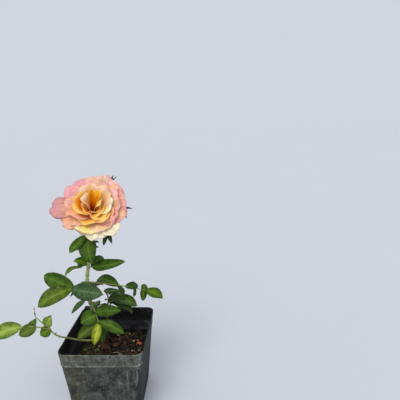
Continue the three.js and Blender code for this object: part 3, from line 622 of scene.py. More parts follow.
def makeScatterTree():
    # points on the top of the bed, each with a broken lump of its own size and turn
    tree, given = newTree("scatterBits", {
        "Bed": "Geometry", "Density": 1.0, "Seed": 1, "Floor": 0.07, "Smallest": 0.001, "Largest": 0.003,
        "Flatness": 0.6, "Spacing": 0.001, "Reach": 0.05, "Finish": "Material"}, "Bits")
    seed, floor = given["Seed"], given["Floor"]
    parts = addNode(tree, "ShaderNodeSeparateXYZ", {0: addNode(tree, "GeometryNodeInputPosition")})
    upward = addNode(tree, "ShaderNodeVectorMath",
                     {"operation": "DOT_PRODUCT", 0: addNode(tree, "GeometryNodeInputNormal"), 1: (0, 0, 1)})
    facing = addNode(tree, "FunctionNodeCompare", {"operation": "GREATER_THAN", 0: upward, 1: 0.2})
    high = addNode(tree, "FunctionNodeCompare", {"operation": "GREATER_THAN", 0: parts.outputs[2], 1: floor})
    top = addNode(tree, "FunctionNodeBooleanMath", {"operation": "AND", 0: high, 1: facing})
    for axis in (0, 1):  # nothing is pressed through the pot's wall
        away = addNode(tree, "ShaderNodeMath", {"operation": "ABSOLUTE", 0: parts.outputs[axis]})
        inside = addNode(tree, "FunctionNodeCompare", {"operation": "LESS_THAN", 0: away, 1: given["Reach"]})
        top = addNode(tree, "FunctionNodeBooleanMath", {"operation": "AND", 0: top, 1: inside})
    spread = addNode(tree, "GeometryNodeDistributePointsOnFaces", {
        "distribute_method": "POISSON", "Mesh": given["Bed"], "Selection": top,
        "Distance Min": given["Spacing"], "Density Max": given["Density"], "Seed": seed})
    ball = addNode(tree, "GeometryNodeMeshIcoSphere", {"Radius": 1.0, "Subdivisions": 2})
    turn = addNode(tree, "FunctionNodeRandomValue",
                   {"data_type": "FLOAT_VECTOR", "Max": (6.28, 6.28, 6.28), "Seed": seed})
    size = addNode(tree, "FunctionNodeRandomValue",
                   {"data_type": "FLOAT", 2: given["Smallest"], 3: given["Largest"], "Seed": seed})
    shape = addNode(tree, "FunctionNodeRandomValue", {
        "data_type": "FLOAT_VECTOR", "Min": (0.75, 0.5, 0.3), "Max": (1.3, 0.9, 0.7), "Seed": seed})
    flat = addNode(tree, "ShaderNodeCombineXYZ", {0: 1.0, 1: 1.0, 2: given["Flatness"]})
    squash = addNode(tree, "ShaderNodeVectorMath", {"operation": "MULTIPLY", 0: shape, 1: flat})
    scale = addNode(tree, "ShaderNodeVectorMath", {"operation": "SCALE", 0: squash, "Scale": size})
    chip = addNode(tree, "ShaderNodeTexNoise", {"Scale": 300.0, "Detail": 1.0}).outputs["Color"]
    centred = addNode(tree, "ShaderNodeVectorMath", {"operation": "SUBTRACT", 0: chip, 1: (0.5, 0.5, 0.5)})
    jagged = addNode(tree, "ShaderNodeVectorMath",
                     {"operation": "SCALE", 0: centred, "Scale": soil["jag"] * mm})
    return layCopies(tree, spread, ball, turn, scale, given["Finish"], jagged)


def makeBits(size, bed):
    # three times as many points as bits are tried, and the spacing thins them
    scatter = makeScatterTree()
    area = (2 * innerTop * mm) ** 2
    for name, count, (small, large), flatness, seed, look in size["bits"]:
        settings = {
            "Density": 3 * count / area, "Spacing": 0.75 * math.sqrt(area / count), "Seed": seed,
            "Smallest": small * mm, "Largest": large * mm, "Flatness": flatness,
            "Reach": (innerTop - 3.2 - large * 1.15) * mm, "Floor": (size["level"] - 4.5) * mm,
            "Finish": makeBitMaterial(*look),
        }
        place(fromNodes(name, bed.data, scatter, settings), "potting_mix")


def makePlacedBits(size):
    # the larger pieces that lie in known places, each a broken lump half sunk in the mix
    for name, long, wide, high, turn, look, spots in size["placed"]:
        sheets = Sheets()
        for i, (x, y) in enumerate(spots):
            swing = Matrix.Rotation(math.radians(turn + size["lumpTurn"] * i), 3, "Z")
            middle = Vector((x, y, soilHeight(x, y) + high * 0.25))
            rows = []
            for j in range(size["lumpRings"]):
                lift = math.pi * (j + 0.5) / size["lumpRings"]
                row = [Vector((c * math.sin(lift), s * math.sin(lift), -math.cos(lift)))
                       for c, s in circle(size["lumpSides"])]
                row = [p * (1 + size["uneven"] * noise.noise(p * 1.7 + Vector((x, y, 0)))) for p in row]
                rows.append([middle + swing @ Vector((p.x * long / 2, p.y * wide / 2, p.z * high / 2))
                             for p in row])
            sheets.addClosed(rows)
        place(sheets.build(name, [makeBitMaterial(*look)]), "potting_mix")


def makeFibres(size):
    # Dry root fibre: thin dull roots and straws, bleached pale, that lie across the mix
    straw = newMaterial("dry root fibre", {"Roughness": 0.8, "Base Color": "#8e8467"})[0]
    draw = seeded(size["fibreSeed"])
    reach, steps = innerTop - 9, size["fibreSteps"]
    (short, longer), (thin, thicker) = size["fibreLength"], size["fibreRadius"]
    sheets = Sheets()
    for _ in range(size["fibres"]):
        x, y, way = reach * (2 * draw() - 1), reach * (2 * draw() - 1), 6.28 * draw()
        length, bend = short + longer * draw(), size["fibreBend"] * (draw() - 0.5)
        thick = thin + thicker * draw()
        path = []
        for k in range(steps + 1):
            way += bend / steps
            x, y = x + math.cos(way) * length / steps, y + math.sin(way) * length / steps
            path.append(Vector((x, y, soilHeight(x, y) + 0.9 + 0.5 * math.sin(k))))
        if max(abs(c) for p in path for c in (p.x, p.y)) < innerTop - 3:
            addTube(sheets, path, lambda t: thick * (1 - 0.6 * t), 5)
    place(sheets.build("rootFibres", [straw]), "potting_mix")


makeBits(soil, makeSoilBed(soil, makeSoilMaterial()))
makePlacedBits(soil)
makeFibres(soil)
print("pot filled")

# Woody foot and canes: for each cane its course, its radii along it, where its swollen nodes are, how far it
# has ripened to brown from its foot on, and how many prickles it bears
caneLook = {
    "green": "#86a048", "pale": "#bcc888", "ripe": "#5c4a30",
    "nodeSwell": 0.2, "nodeLength": 2.2, "unevenness": 0.05,
    "prickleLength": 2.6, "prickleRadius": 0.9, "prickleTipRadius": 0.06, "prickleSides": 8,
    "prickleLean": 0.35, "prickleSizes": (0.55, 1.1),  # they lean back down the cane
}
canes = {
    "cane_main": {
        "through": [(-13, 11, 98), (-17.5, 6, 112), (-20.5, 1, 130), (-23, -2, 152), (-27, -2, 175),
                    (-27, -2, 194), (-22.5, -3, 222), (-17, -2.5, 250), (-14.5, 4, 268), (-11.5, 11.5, 282),
                    (-7.5, 12.5, 291), (-4.6, 5, 297.8)],
        "radii": [3.1, 2.8, 2.4, 2.2, 2.0, 2.2], "steps": 240, "sides": 20,
        "nodesAt": [119, 134, 163, 168, 189, 195, 206, 217, 224, 232, 254, 262],
        "ripe": [0.9, 0.8, 0.2, 0, 0, 0], "prickles": 26,
    },
    "cane_side": {
        "through": [(-12, 12, 98), (-6.5, 14, 112), (-7.5, 13, 132), (-8, 11, 146), (-2.5, 11, 156),
                    (-6, 13, 174)],
        "radii": [2.1, 1.8, 1.5, 1.2, 0.9], "steps": 110, "sides": 16,
        "nodesAt": [140, 150, 158, 172.5], "ripe": [0.9, 0.9], "prickles": 7,
    },
    "shoot_low": {
        "through": [(-14, 11, 92.5), (-28, 3, 95.5), (-40, -7, 103), (-47.5, -15, 111), (-54, -22, 118.2),
                    (-60, -27, 123.5), (-64.5, -31, 129), (-68, -34, 135), (-73, -36, 146.5)],
        "radii": [1.7, 1.5, 1.2, 0.9], "steps": 150, "sides": 16,
        "nodesAt": [103, 118, 141], "ripe": [0.35, 0.35], "prickles": 9,
    },
}
canePaths = {name: smoothPath(cane["through"], cane["steps"]) for name, cane in canes.items()}


def along(values, t):
    # the value at a share of the way through a list of values
    step = t * (len(values) - 1)
    i = min(int(step), len(values) - 2)
    return values[i] + (values[i + 1] - values[i]) * (step - i)


def caneAt(name, height):
    return min(canePaths[name], key=lambda point: abs(point.z - height))


def makeBark():
    # Two-year rose wood: grey-brown skin that splits in short vertical lines about 1 mm apart
    return patternedMaterial("rose bark", {"Roughness": 0.9, "IOR": 1.45}, ((1, 1, 0.22), 900.0, 4.0, 0.7),
                             [(0.3, "#21160e"), (0.5, "#47331f"), (0.7, "#6c563e")], (0.8, 0.6))


def makeCaneSkin():
    # Young rose cane: waxy green bark, flushed red-brown where the sun and the nodes are, streaked along
    return patternedMaterial("green cane bark", {"Roughness": 0.42, "IOR": 1.45},
                             ((1, 1, 0.3), 420.0, 3.0, 0.5), [(0.3, 0.82), (0.7, 1.12)], (0.25, 0.3),
                             overTones=True)


def makeFoot(size, material):
    rows = []
    for j in range(size["rings"] + 1):
        share = j / size["rings"]
        flare = max(0, 1 - share / size["flareShare"]) ** 2
        radius = size["neckRadius"] + (size["topRadius"] - size["neckRadius"]) * share
        radius += (size["flareRadius"] - size["neckRadius"]) * flare
        row = []
        for k in range(size["sides"]):
            angle = fullTurn * k / size["sides"]
            out = radius * (1 + size["rootRelief"] * flare * math.cos(size["roots"] * angle + 0.6))
            around = Vector((3 * math.cos(angle), 3 * math.sin(angle), share * 5))
            out *= 1 + size["unevenness"] * noise.noise(around)
            if share == 1:  # a worn upper edge
                out *= 0.9
            row.append(Vector((size["x"] + size["lean"][0] * share + out * math.cos(angle),
                               size["y"] + size["lean"][1] * share + out * math.sin(angle),
                               soil["level"] + 0.3 + share * size["height"])))
        rows.append(row)
    sheets = Sheets()
    sheets.addClosed(rows)
    place(sheets.build("woodyFoot", [material]), "wood", "woody_foot")


def makeCane(name, cane, material):
    path, look = canePaths[name], caneLook
    green, pale, flush = [linear(look[tone]) for tone in ("green", "pale", "ripe")]

    def swelling(t):
        height = path[round(t * (len(path) - 1))].z
        return max(math.exp(-((height - node) / look["nodeLength"]) ** 2) for node in cane["nodesAt"])

    def radiusAt(t):
        return along(cane["radii"], t) * (1 + look["nodeSwell"] * swelling(t))

    def toneAt(t):
        mottled = noise.noise(path[round(t * (len(path) - 1))] / 9)
        ripe = min(1, along(cane["ripe"], t) + 0.3 * swelling(t))
        return blendOf(blendOf(green, pale, 0.5 + mottled), flush, ripe)

    def reliefAt(t, angle):
        return look["unevenness"] * noise.noise(Vector((math.cos(angle) * 2, math.sin(angle) * 2, t * 30)))

    sheets = Sheets()
    addTube(sheets, path, radiusAt, cane["sides"], toneAt, reliefAt)
    place(sheets.build(name.replace("_", "") + "Skin", [material]), "cane", name)


def makePrickleTree():
    # prickles set round a cane, from its path and its radius
    tree, given = newTree("setPrickles", {
        "Path": "Geometry", "Count": 10, "Seed": 1, "Length": 0.003, "Radius": 0.001, "Tip Radius": 0.0001,
        "Stand Off": 0.0018, "Finish": "Material"}, "Prickles")
    curve = addNode(tree, "GeometryNodeMeshToCurve", {0: given["Path"]})
    points = addNode(tree, "GeometryNodeCurveToPoints", {"mode": "COUNT", 0: curve, "Count": given["Count"]})
    normal, tangent, seed = points.outputs["Normal"], points.outputs["Tangent"], given["Seed"]
    spin = addNode(tree, "FunctionNodeRandomValue", {"data_type": "FLOAT", 2: 0.0, 3: 6.28, "Seed": seed})
    outward = addNode(tree, "ShaderNodeVectorRotate",
                      {"rotation_type": "AXIS_ANGLE", "Vector": normal, "Axis": tangent, "Angle": spin})
    lean = addNode(tree, "ShaderNodeVectorMath",
                   {"operation": "SCALE", 0: tangent, "Scale": -caneLook["prickleLean"]})
    aim = addNode(tree, "ShaderNodeVectorMath", {"operation": "ADD", 0: outward, 1: lean})
    turn = addNode(tree, "FunctionNodeAlignRotationToVector", {"axis": "Z", "Vector": aim})
    offset = addNode(tree, "ShaderNodeVectorMath",
                     {"operation": "SCALE", 0: outward, "Scale": given["Stand Off"]})
    moved = addNode(tree, "GeometryNodeSetPosition", {"Geometry": points, "Offset": offset})
    cone = addNode(tree, "GeometryNodeMeshCone", {
        "Vertices": caneLook["prickleSides"], "Side Segments": 3, "Radius Top": given["Tip Radius"],
        "Radius Bottom": given["Radius"], "Depth": given["Length"]})
    small, large = caneLook["prickleSizes"]
    each = addNode(tree, "FunctionNodeRandomValue", {"data_type": "FLOAT", 2: small, 3: large, "Seed": seed})
    return layCopies(tree, moved, cone, turn, each, given["Finish"])


def makePrickles():
    # Prickle horn: translucent red-brown, harder and glossier than the bark
    horn = newMaterial("prickle horn", {"Roughness": 0.35, "IOR": 1.5, "Base Color": "#8a4a34"})[0]
    setter = makePrickleTree()
    for seed, (name, cane) in enumerate(canes.items(), 3):
        line = bpy.data.meshes.new(name + "Path")
        path = canePaths[name][len(canePaths[name]) // 8:-len(canePaths[name]) // 6]
        line.from_pydata([p * mm for p in path], [(i, i + 1) for i in range(len(path) - 1)], [])
        settings = {
            "Count": cane["prickles"], "Seed": seed, "Length": caneLook["prickleLength"] * mm,
            "Radius": caneLook["prickleRadius"] * mm, "Tip Radius": caneLook["prickleTipRadius"] * mm,
            "Stand Off": along(cane["radii"], 0.5) * mm * 0.75, "Finish": horn,
        }
        place(fromNodes(name.replace("_", "") + "Prickles", line, setter, settings), "cane")


makeFoot(foot, makeBark())
caneSkin = makeCaneSkin()
for caneName, caneSize in canes.items():
    makeCane(caneName, caneSize, caneSkin)
makePrickles()
print("canes grown")


# Leaves: each leaflet of the part's source again, as a toothed and veined blade
leafLook = {
    "stations": 46, "across": 6,  # steps along a blade and from its midrib to one margin
    "thickness": 0.32, "fold": 0.22, "outward": 0.6, "rootDepth": 1.6, "waviness": 0.7,
    "teeth": 2.3, "toothDepth": 0.9,  # mm along the margin for each tooth
    "sideVeins": 7.5, "veinDepth": 0.16, "twist": 0.5, "tipHang": 0.06,
    "shade": (0.84, 0.3), "warmth": (0.8, 0.35),  # the least of a blade's, and how far they vary
    "stalkRadius": 0.85, "stalkTipRadius": 0.5, "stalkSteps": 24, "longStalk": 14,  # a long one has stipules
    "skew": 0.92, "bluntness": 0.62,  # where a blade is broadest, and how full its outline is
}
leafRule = {
    "sideAngle": 62, "sideShare": 0.82, "widthShare": 0.58, "droop": 0.24, "firstPair": 0.52, "scatter": 0.12,
    "seed": 23,
}
stipuleLook = {
    "from": 2.4, "length": 7, "width": 1.1, "ear": 0.9, "curl": 0.12, "thickness": 0.3,
    "steps": 8, "across": 3, "green": "#7d9150",
}
# each tint's material, its dark and light green and its vein's, and its gloss
leafPaint = {
    "deep": ("dark rose leaf", ("#1a2a0a", "#375015", "#556c2c"), 0.45),
    "mid": ("green rose leaf", ("#213908", "#496516", "#73883c"), 0.45),
    # painted sheen: a greyer, bluer green, partly the blade's own dull tone and partly the sky's sheen
    # painted on
    "frosted": ("dull rose leaf with painted sheen", ("#26391c", "#475e38", "#6e8258"), 0.45),
    "fresh": ("young rose leaf", ("#4c641c", "#8ea048", "#b4c274"), 0.45),
    "yellow": ("yellowing rose leaf", ("#64760f", "#a8b02a", "#d6d26c"), 0.45),
    "olive": ("older rose leaf", ("#283e0a", "#5a6c1e", "#808e46"), 0.45),
    "bright": ("bright rose leaf", ("#284406", "#517008", "#7e9230"), 0.5),
    "dry": ("dried rose leaf", ("#5e4426", "#94744a", "#b59a6c"), 0.7),
    "under": ("pale underside of a rose leaf", ("#47643a", "#64814c", "#90aa74"), 0.62),
}
tints = list(leafPaint)

# cane, height on it, end of the leaf's stalk, sag, and for each leaflet: place on the stalk, tip, width,
# roll, arch, tint and, where it differs, skew
shownLeaves = {
    "leaf_collar": ("cane_main", 254, (-20, -9, 266), -1, [
        (1, (-43, -16, 244.5), 12, -40, 4, "mid"),
        (0.62, (-10, -24, 232.5), 24, 0, 5, "mid")]),
    "leaf_upper_right": ("cane_main", 217, (-14, -7, 221), 0, [
        (1, (31.5, -14, 232.5), 18, 22, -3, "mid", 0.74),
        (0.75, (-7, 17, 226), 14, 0, 3, "deep")]),
    "leaf_upper_left": ("cane_main", 224, (-31, -8, 220.5), -1, [
        (1, (-51, -20, 213), 10, -6, 4, "bright"),
        (0.3, (-39, -12, 232), 14, -34, 2, "bright"),
        (0.85, (-38, 8, 222), 9, 0, 2, "deep")]),
    "leaf_left": ("cane_main", 195, (-43, -22, 194), -2, [
        (1, (-83, -40, 178.5), 24, -22, 5, "olive"),
        (0.85, (-87, -6, 207.5), 22, -30, 3, "mid"),
        (0.97, (6.5, -42, 198), 23, 24, 1, "frosted", 1.25)]),
    "leaf_left_low": ("cane_main", 168, (-35, 3, 163), -1, [
        (1, (-55, 0, 142.5), 8, 60, 2, "frosted"),
        (0.7, (-43, 24, 160), 13, 0, 3, "deep")]),
    "leaf_behind": ("cane_main", 184, (-27, 12, 183), -1, [
        (1, (-31, 37, 168), 16, 0, 2, "deep"),
        (0.5, (-7.5, 10, 184.5), 11, 36, 2, "deep"),
        (0.7, (-47, 19, 178), 14, -20, 2, "deep")]),
    "leaf_right_long": ("cane_main", 194, (53.5, 18, 170), -2, [
        (1, (78.5, 12, 161.2), 18, 30, 2, "bright"),
        (0.93, (51.5, 24, 177), 11, 20, 1, "mid"),
        (0.93, (49, 10, 157), 11, 30, 1, "mid"),
        (0.64, (41, 23, 174.6), 11, 36, 3, "deep"),
        (0.78, (36, 8, 165), 8, 0, 1, "deep"),
        (0.5, (-22, 22, 187), 16, -46, 6, "mid"),
        (0.5, (23.5, 5, 168), 9, 20, 1, "deep")]),
    "leaf_side_fork": ("cane_side", 167, (-6, 7, 175.5), 0, [(1, (16, 0, 181), 8, 40, 1, "frosted")]),
    "leaf_right_broad": ("cane_side", 150, (1, 15, 154), -1, [
        (1, (38.5, 21, 143.5), 24, 20, 5, "mid", 1.2),
        (0.8, (35, 4, 141.5), 20, 18, 3, "deep", 1.25),
        (0.8, (10, 42, 149), 18, 0, 3, "deep"),
        (0.5, (20, 15, 159), 12, 30, 4, "deep")]),
    "leaf_front": ("cane_main", 163, (-6, -28, 143.5), -6, [
        (1, (-0.5, -34.5, 118.5), 17, -14, -1, "mid"),
        (0.96, (-10, -43, 122), 12, 4, 6, "yellow"),
        (0.9, (-34, -39, 128.5), 16, -14, 3, "olive"),
        (0.9, (29.5, -31, 132), 14, 14, 3, "mid", 1.2),
        (0.72, (-31.5, -29, 147), 21, -14, 3, "mid"),
        (0.6, (23, -17, 159), 16, 24, 3, "mid")]),
    "leaf_low_left": ("shoot_low", 141, (-106.5, -42, 150), -2, [
        (1, (-142, -50, 141.5), 20, -50, 5, "fresh"),
        (0.5, (-107, -49, 142), 16, -58, 0, "olive"),
        (0.55, (-98, -26, 150), 13, 0, 2, "mid"),
        (0.02, (-82, -42, 137), 15, -62, 1, "bright")]),
    "leaf_low_tip": ("shoot_low", 146.5, (-88.5, -34, 159), 1, [
        (1, (-90, -34, 174), 6, 40, 0, "dry"),
        (0.12, (-68, -34, 160.5), 15, 72, 1, "fresh"),
        (0.3, (-74, -19, 154), 9, 0, 1, "mid")]),
}
# leaves of the far side by rule: cane, height, heading, rise, stalk, pairs, size
ruleLeaves = {
    "leaf_back_top": ("cane_main", 262, 100, 46, 30, 2, 29),
    "leaf_back_upper": ("cane_main", 232, 109, 18, 26, 2, 27),
    "leaf_back_left": ("cane_main", 177, 138, -6, 28, 2, 26),
    "leaf_back_right": ("cane_side", 140, 78, 6, 34, 2, 28),
    "leaf_back_low": ("cane_main", 134, 106, 6, 26, 2, 25),
}


def byRule(name, index):
    # pairs of side leaflets and one at the end of a straight stalk
    cane, height, heading, rise, stalk, pairs, size = ruleLeaves[name]
    draw = seeded(leafRule["seed"] + index)

    def jitter():
        return 1 + leafRule["scatter"] * (draw() - 0.5) * 2

    turn, lift = math.radians(heading), math.radians(rise)
    forward = Vector((math.cos(turn) * math.cos(lift), math.sin(turn) * math.cos(lift), math.sin(lift)))
    start = caneAt(cane, height)
    end = start + forward * stalk
    leaflets = []

    def addLeaflet(at, swing, length, roll):
        tip = start.lerp(end, at) + Matrix.Rotation(math.radians(swing), 3, "Z") @ forward * length
        tip.z -= leafRule["droop"] * length * jitter()
        leaflets.append((at, tip, length * leafRule["widthShare"], roll, 2.5, "deep" if at < 0.9 else "mid"))

    addLeaflet(1, 0, size * jitter(), 0)
    for pair in range(pairs):
        at = leafRule["firstPair"] + (0.97 - leafRule["firstPair"]) * pair / max(1, pairs - 1)
        share = leafRule["sideShare"] * (0.86 + 0.14 * pair / pairs)
        for side in (-1, 1):
            swing = side * leafRule["sideAngle"] * jitter()
            addLeaflet(at, swing, size * share * jitter(), side * 8)
    return cane, height, end, 0, leaflets


def bladeHalf(t, skew):
    # a full oval that ends a little before the tip, which is a small point
    oval = math.sin(math.pi * min(1, t / 0.965) ** skew)
    return max(max(0.0, oval) ** leafLook["bluntness"], 2.3 * (1 - t) * smoothStep(0.6, 0.8, t))


def addBlade(sheets, base, tip, wide, roll, arch, outward, kind, draw, skew=leafLook["skew"]):
    # one leaflet: toothed, folded along its midrib, arched along it and a little wavy
    look = leafLook
    way = (tip - base).normalized()
    length = (tip - base).length
    face = up + outward * look["outward"]
    face = (face - way * face.dot(way)).normalized()
    face.rotate(Matrix.Rotation(math.radians(roll), 3, way))
    side = face.cross(way)
    start = base - way * look["rootDepth"]
    sunk = look["rootDepth"] / (length + look["rootDepth"])
    steps, across = look["stations"], look["across"]
    teeth = max(5, round(length / look["teeth"]))
    depth = min(look["toothDepth"], wide * 0.05)
    phase, twist, hang = draw() * 6.28, (draw() - 0.5) * look["twist"], 0.6 + 0.8 * draw()
    rows, places, tones = [], [], []
    shade, warmth = [least + spread * draw() for least, spread in (look["shade"], look["warmth"])]
    for j in range(steps + 1):
        t = 0.008 + 0.992 * j / steps
        free = max(0.0, t - sunk) / (1 - sunk)
        middle = start.lerp(tip, t) + face * (4 * arch * free * (1 - free))
        thin = look["stalkTipRadius"] * (1 - 0.7 * t) * (1 - smoothStep(0.9, 1, t))
        half = max(wide / 2 * bladeHalf(t, skew), thin)
        bend = face.copy()
        bend.rotate(Matrix.Rotation(twist * (t - 0.4), 3, way))
        beside = bend.cross(way)
        row, spots, shades = [], [], []
        for i in range(across, -across - 1, -1):
            u = i / across
            reach = half * u
            if abs(i) == across and 0.12 < t < 0.97:
                saw = (t * teeth) % 1.0
                reach += math.copysign(depth * (saw - 0.45) * min(1, half / (wide * 0.22)), u)
            edge = abs(u)
            lift = look["fold"] * half * edge ** 1.25
            wave = math.sin(phase + 9 * t + (2 if u > 0 else 0))
            lift += look["waviness"] * half / (wide / 2 + 0.01) * u * u * wave
            lift -= hang * look["tipHang"] * length * max(0.0, t - 0.72) ** 2 * 12
            vein = math.cos(6.283 * (t * look["sideVeins"] - edge * 1.6))  # side veins lie in shallow folds
            lift += look["veinDepth"] * vein * min(1, half / 3) * (1 - edge ** 3) * edge ** 0.5
            row.append(middle + beside * reach + bend * lift)
            spots.append((0.5 + 0.5 * u, t))
            shades.append((shade, shade, shade * warmth, 1.0))
        rows.append(row)
        places.append(spots)
        tones.append(shades)
    sheets.addGrid(rows, places, tones, kind=kind)


def makeLeafMaterial(name, colours, gloss):
    # Rose leaf: a faintly waxy cuticle over green tissue, with a pale midrib and sunken side veins; the
    # tissue is yellower round the midrib and darker to the margin, partly its own tone and partly a painted
    # glow of the light through the blade; colours are the blade's dark and light green and the vein's
    material, tree, shader = newMaterial(name, {
        "IOR": 1.45, "Specular IOR Level": 0.16, "Subsurface Weight": 0.15, "Subsurface Scale": 0.002,
        "Subsurface Radius": (0.6, 1.0, 0.2)})
    coords = addNode(tree, "ShaderNodeTexCoord").outputs["Object"]
    tone = addNode(tree, "ShaderNodeAttribute", {"attribute_name": "tone"})
    sheet = addNode(tree, "ShaderNodeSeparateXYZ", {0: addNode(tree, "ShaderNodeUVMap", {"uv_map": "sheet"})})
    fromRib = addNode(tree, "ShaderNodeMath", {"operation": "SUBTRACT", 0: sheet, 1: 0.5})
    aside = addNode(tree, "ShaderNodeMath", {"operation": "ABSOLUTE", 0: fromRib})
    slant = addNode(tree, "ShaderNodeMath", {"operation": "MULTIPLY", 0: aside, 1: -0.42})
    run = addNode(tree, "ShaderNodeMath", {"operation": "ADD", 0: sheet.outputs[1], 1: slant})
    count = addNode(tree, "ShaderNodeMath", {"operation": "MULTIPLY", 0: run, 1: leafLook["sideVeins"]})
    wave = addNode(tree, "ShaderNodeMath", {"operation": "PINGPONG", 0: count, 1: 0.5})
    sideVein = addNode(tree, "ShaderNodeValToRGB", {"stops": [(0.0, 0.5), (0.1, 0.0)], 0: wave})
    midrib = addNode(tree, "ShaderNodeValToRGB", {"stops": [(0.0, 1.0), (0.03, 0.6), (0.055, 0.0)], 0: aside})
    veins = addNode(tree, "ShaderNodeMath", {"operation": "MAXIMUM", 0: midrib, 1: sideVein})
    cells = addNode(tree, "ShaderNodeTexNoise",
                    {"Scale": 130.0, "Detail": 5.0, "Roughness": 0.65, "Vector": coords})  # patches of 8 mm
    fine = addNode(tree, "ShaderNodeTexVoronoi",
                   {"feature": "DISTANCE_TO_EDGE", "Scale": 900.0, "Vector": coords})  # 1 mm between veinlets
    # painted light: lighter round the midrib and darker to the margin, for light that glows through the blade
    paintedGlow = addNode(tree, "ShaderNodeMath", {"operation": "MULTIPLY_ADD", 0: aside, 1: -0.55, 2: 0.16})
    patchesAndGlow = addNode(tree, "ShaderNodeMath", {"operation": "ADD", 0: cells, 1: paintedGlow})
    green = addNode(tree, "ShaderNodeValToRGB", {"stops": [(0.36, colours[0]), (0.7, colours[1])], 0: patchesAndGlow})
    veinShare = addNode(tree, "ShaderNodeMath", {"operation": "MULTIPLY", 0: veins, 1: 0.5})
    veined = addNode(tree, "ShaderNodeMix", {**colourMix, 0: veinShare, 6: green, 7: colours[2]})
    colour = addNode(tree, "ShaderNodeMix", {**multiplied, 6: veined, 7: tone})
    rough = addNode(tree, "ShaderNodeMapRange", {0: cells, 3: gloss, 4: gloss + 0.2})
    flat = addNode(tree, "ShaderNodeMath", {"operation": "SUBTRACT", 0: 1.0, 1: veins})
    puff = addNode(tree, "ShaderNodeMath", {"operation": "MULTIPLY_ADD", 0: fine, 1: 0.35, 2: flat})
    bump = addNode(tree, "ShaderNodeBump", {"Strength": 0.35, "Distance": 0.5 * mm, "Height": puff})
    setNode(tree, shader, {"Base Color": colour, "Roughness": rough, "Normal": bump})
    return material


def stalkOf(cane, height, end, sag):
    start, end = caneAt(cane, height), Vector(end)
    bend = start.lerp(end, 0.5)
    bend.z = (start.z + end.z) / 2 - sag * 2

    def at(t):
        return start * (1 - t) ** 2 + bend * 2 * t * (1 - t) + end * t * t

    return start, at


def addStipules(sheets, start, at):
    # the pair of narrow wings at the foot of a rose leaf's stalk
    look = stipuleLook
    way = (at(0.2) - at(0.02)).normalized()
    side = way.cross(up).normalized()
    face = side.cross(way)
    green, steps, across = linear(look["green"]), look["steps"], look["across"]
    for hand in (-1, 1):
        rows = []
        for j in range(steps + 1):
            t = j / steps
            middle = start + way * (look["from"] + look["length"] * t)
            ear = look["ear"] if j == steps - 1 else 0
            width = look["width"] * math.sin(math.pi * (0.12 + 0.8 * t)) + ear
            row = [middle + side * hand * width * k / across + face * (look["curl"] * k * k * width)
                   for k in range(across + 1)]
            rows.append(row if hand > 0 else row[::-1])
        sheets.addGrid(rows, tones=[[green] * (across + 1)] * (steps + 1))


def makeLeaves(names, pieceName, materials):
    blades = Sheets()
    for name in names:
        cane, height, end, sag, leaflets = allLeaves[name]
        start, at = stalkOf(cane, height, end, sag)
        draw = seeded(71 + list(allLeaves).index(name))
        for where, tip, wide, roll, arch, tint, *skew in leaflets:
            base = at(min(where, 0.995))
            outward = base - start
            outward.z = 0
            outward = outward.normalized() if outward.length > 1e-6 else Vector()
            addBlade(blades, base, Vector(tip), wide, roll, arch, outward, tints.index(tint), draw, *skew)
    piece = thicken(blades.build(pieceName, materials), leafLook["thickness"], tints.index("under"))
    place(piece, "leaf", *names)


def makeStalks(material):
    # Stalk tissue: pale green above, flushed pink towards the cane
    stalks, wings = Sheets(), Sheets()
    green, pink = linear("#7c8f48"), linear("#6f6638")
    radii = [leafLook["stalkRadius"] * share for share in (1.5, 1, 0.9)] + [leafLook["stalkTipRadius"]]
    steps = leafLook["stalkSteps"]
    for cane, height, end, sag, leaflets in allLeaves.values():
        start, at = stalkOf(cane, height, end, sag)
        addTube(stalks, [at(k / steps) for k in range(steps + 1)], lambda t: along(radii, t), 10,
                lambda t: blendOf(pink, green, smoothStep(0, 0.7, t)),
                lambda t, angle: -0.12 * max(0, math.cos(angle)) ** 4)
        if (at(1) - start).length > leafLook["longStalk"]:
            addStipules(wings, start, at)
    place(stalks.build("leafStalks", [material]), "cane", *allLeaves)
    place(thicken(wings.build("stipules", [material]), stipuleLook["thickness"], offset=0.0), "leaf")


allLeaves = {**shownLeaves, **{name: byRule(name, i) for i, name in enumerate(ruleLeaves)}}
leafMaterials = [makeLeafMaterial(*paint) for paint in leafPaint.values()]
leafGroups = {
    "leavesTop": ["leaf_collar", "leaf_upper_right", "leaf_upper_left", "leaf_back_top", "leaf_back_upper"],
    "leavesMiddle": ["leaf_left", "leaf_left_low", "leaf_behind", "leaf_back_left", "leaf_back_low"],
    "leavesRight": ["leaf_right_long", "leaf_side_fork", "leaf_right_broad", "leaf_back_right"],
    "leavesFront": ["leaf_front"],
    "leavesLow": ["leaf_low_left", "leaf_low_tip"],
}
for groupName, group in leafGroups.items():
    makeLeaves(group, groupName, leafMaterials)
makeStalks(caneSkin)
print("leaves opened")


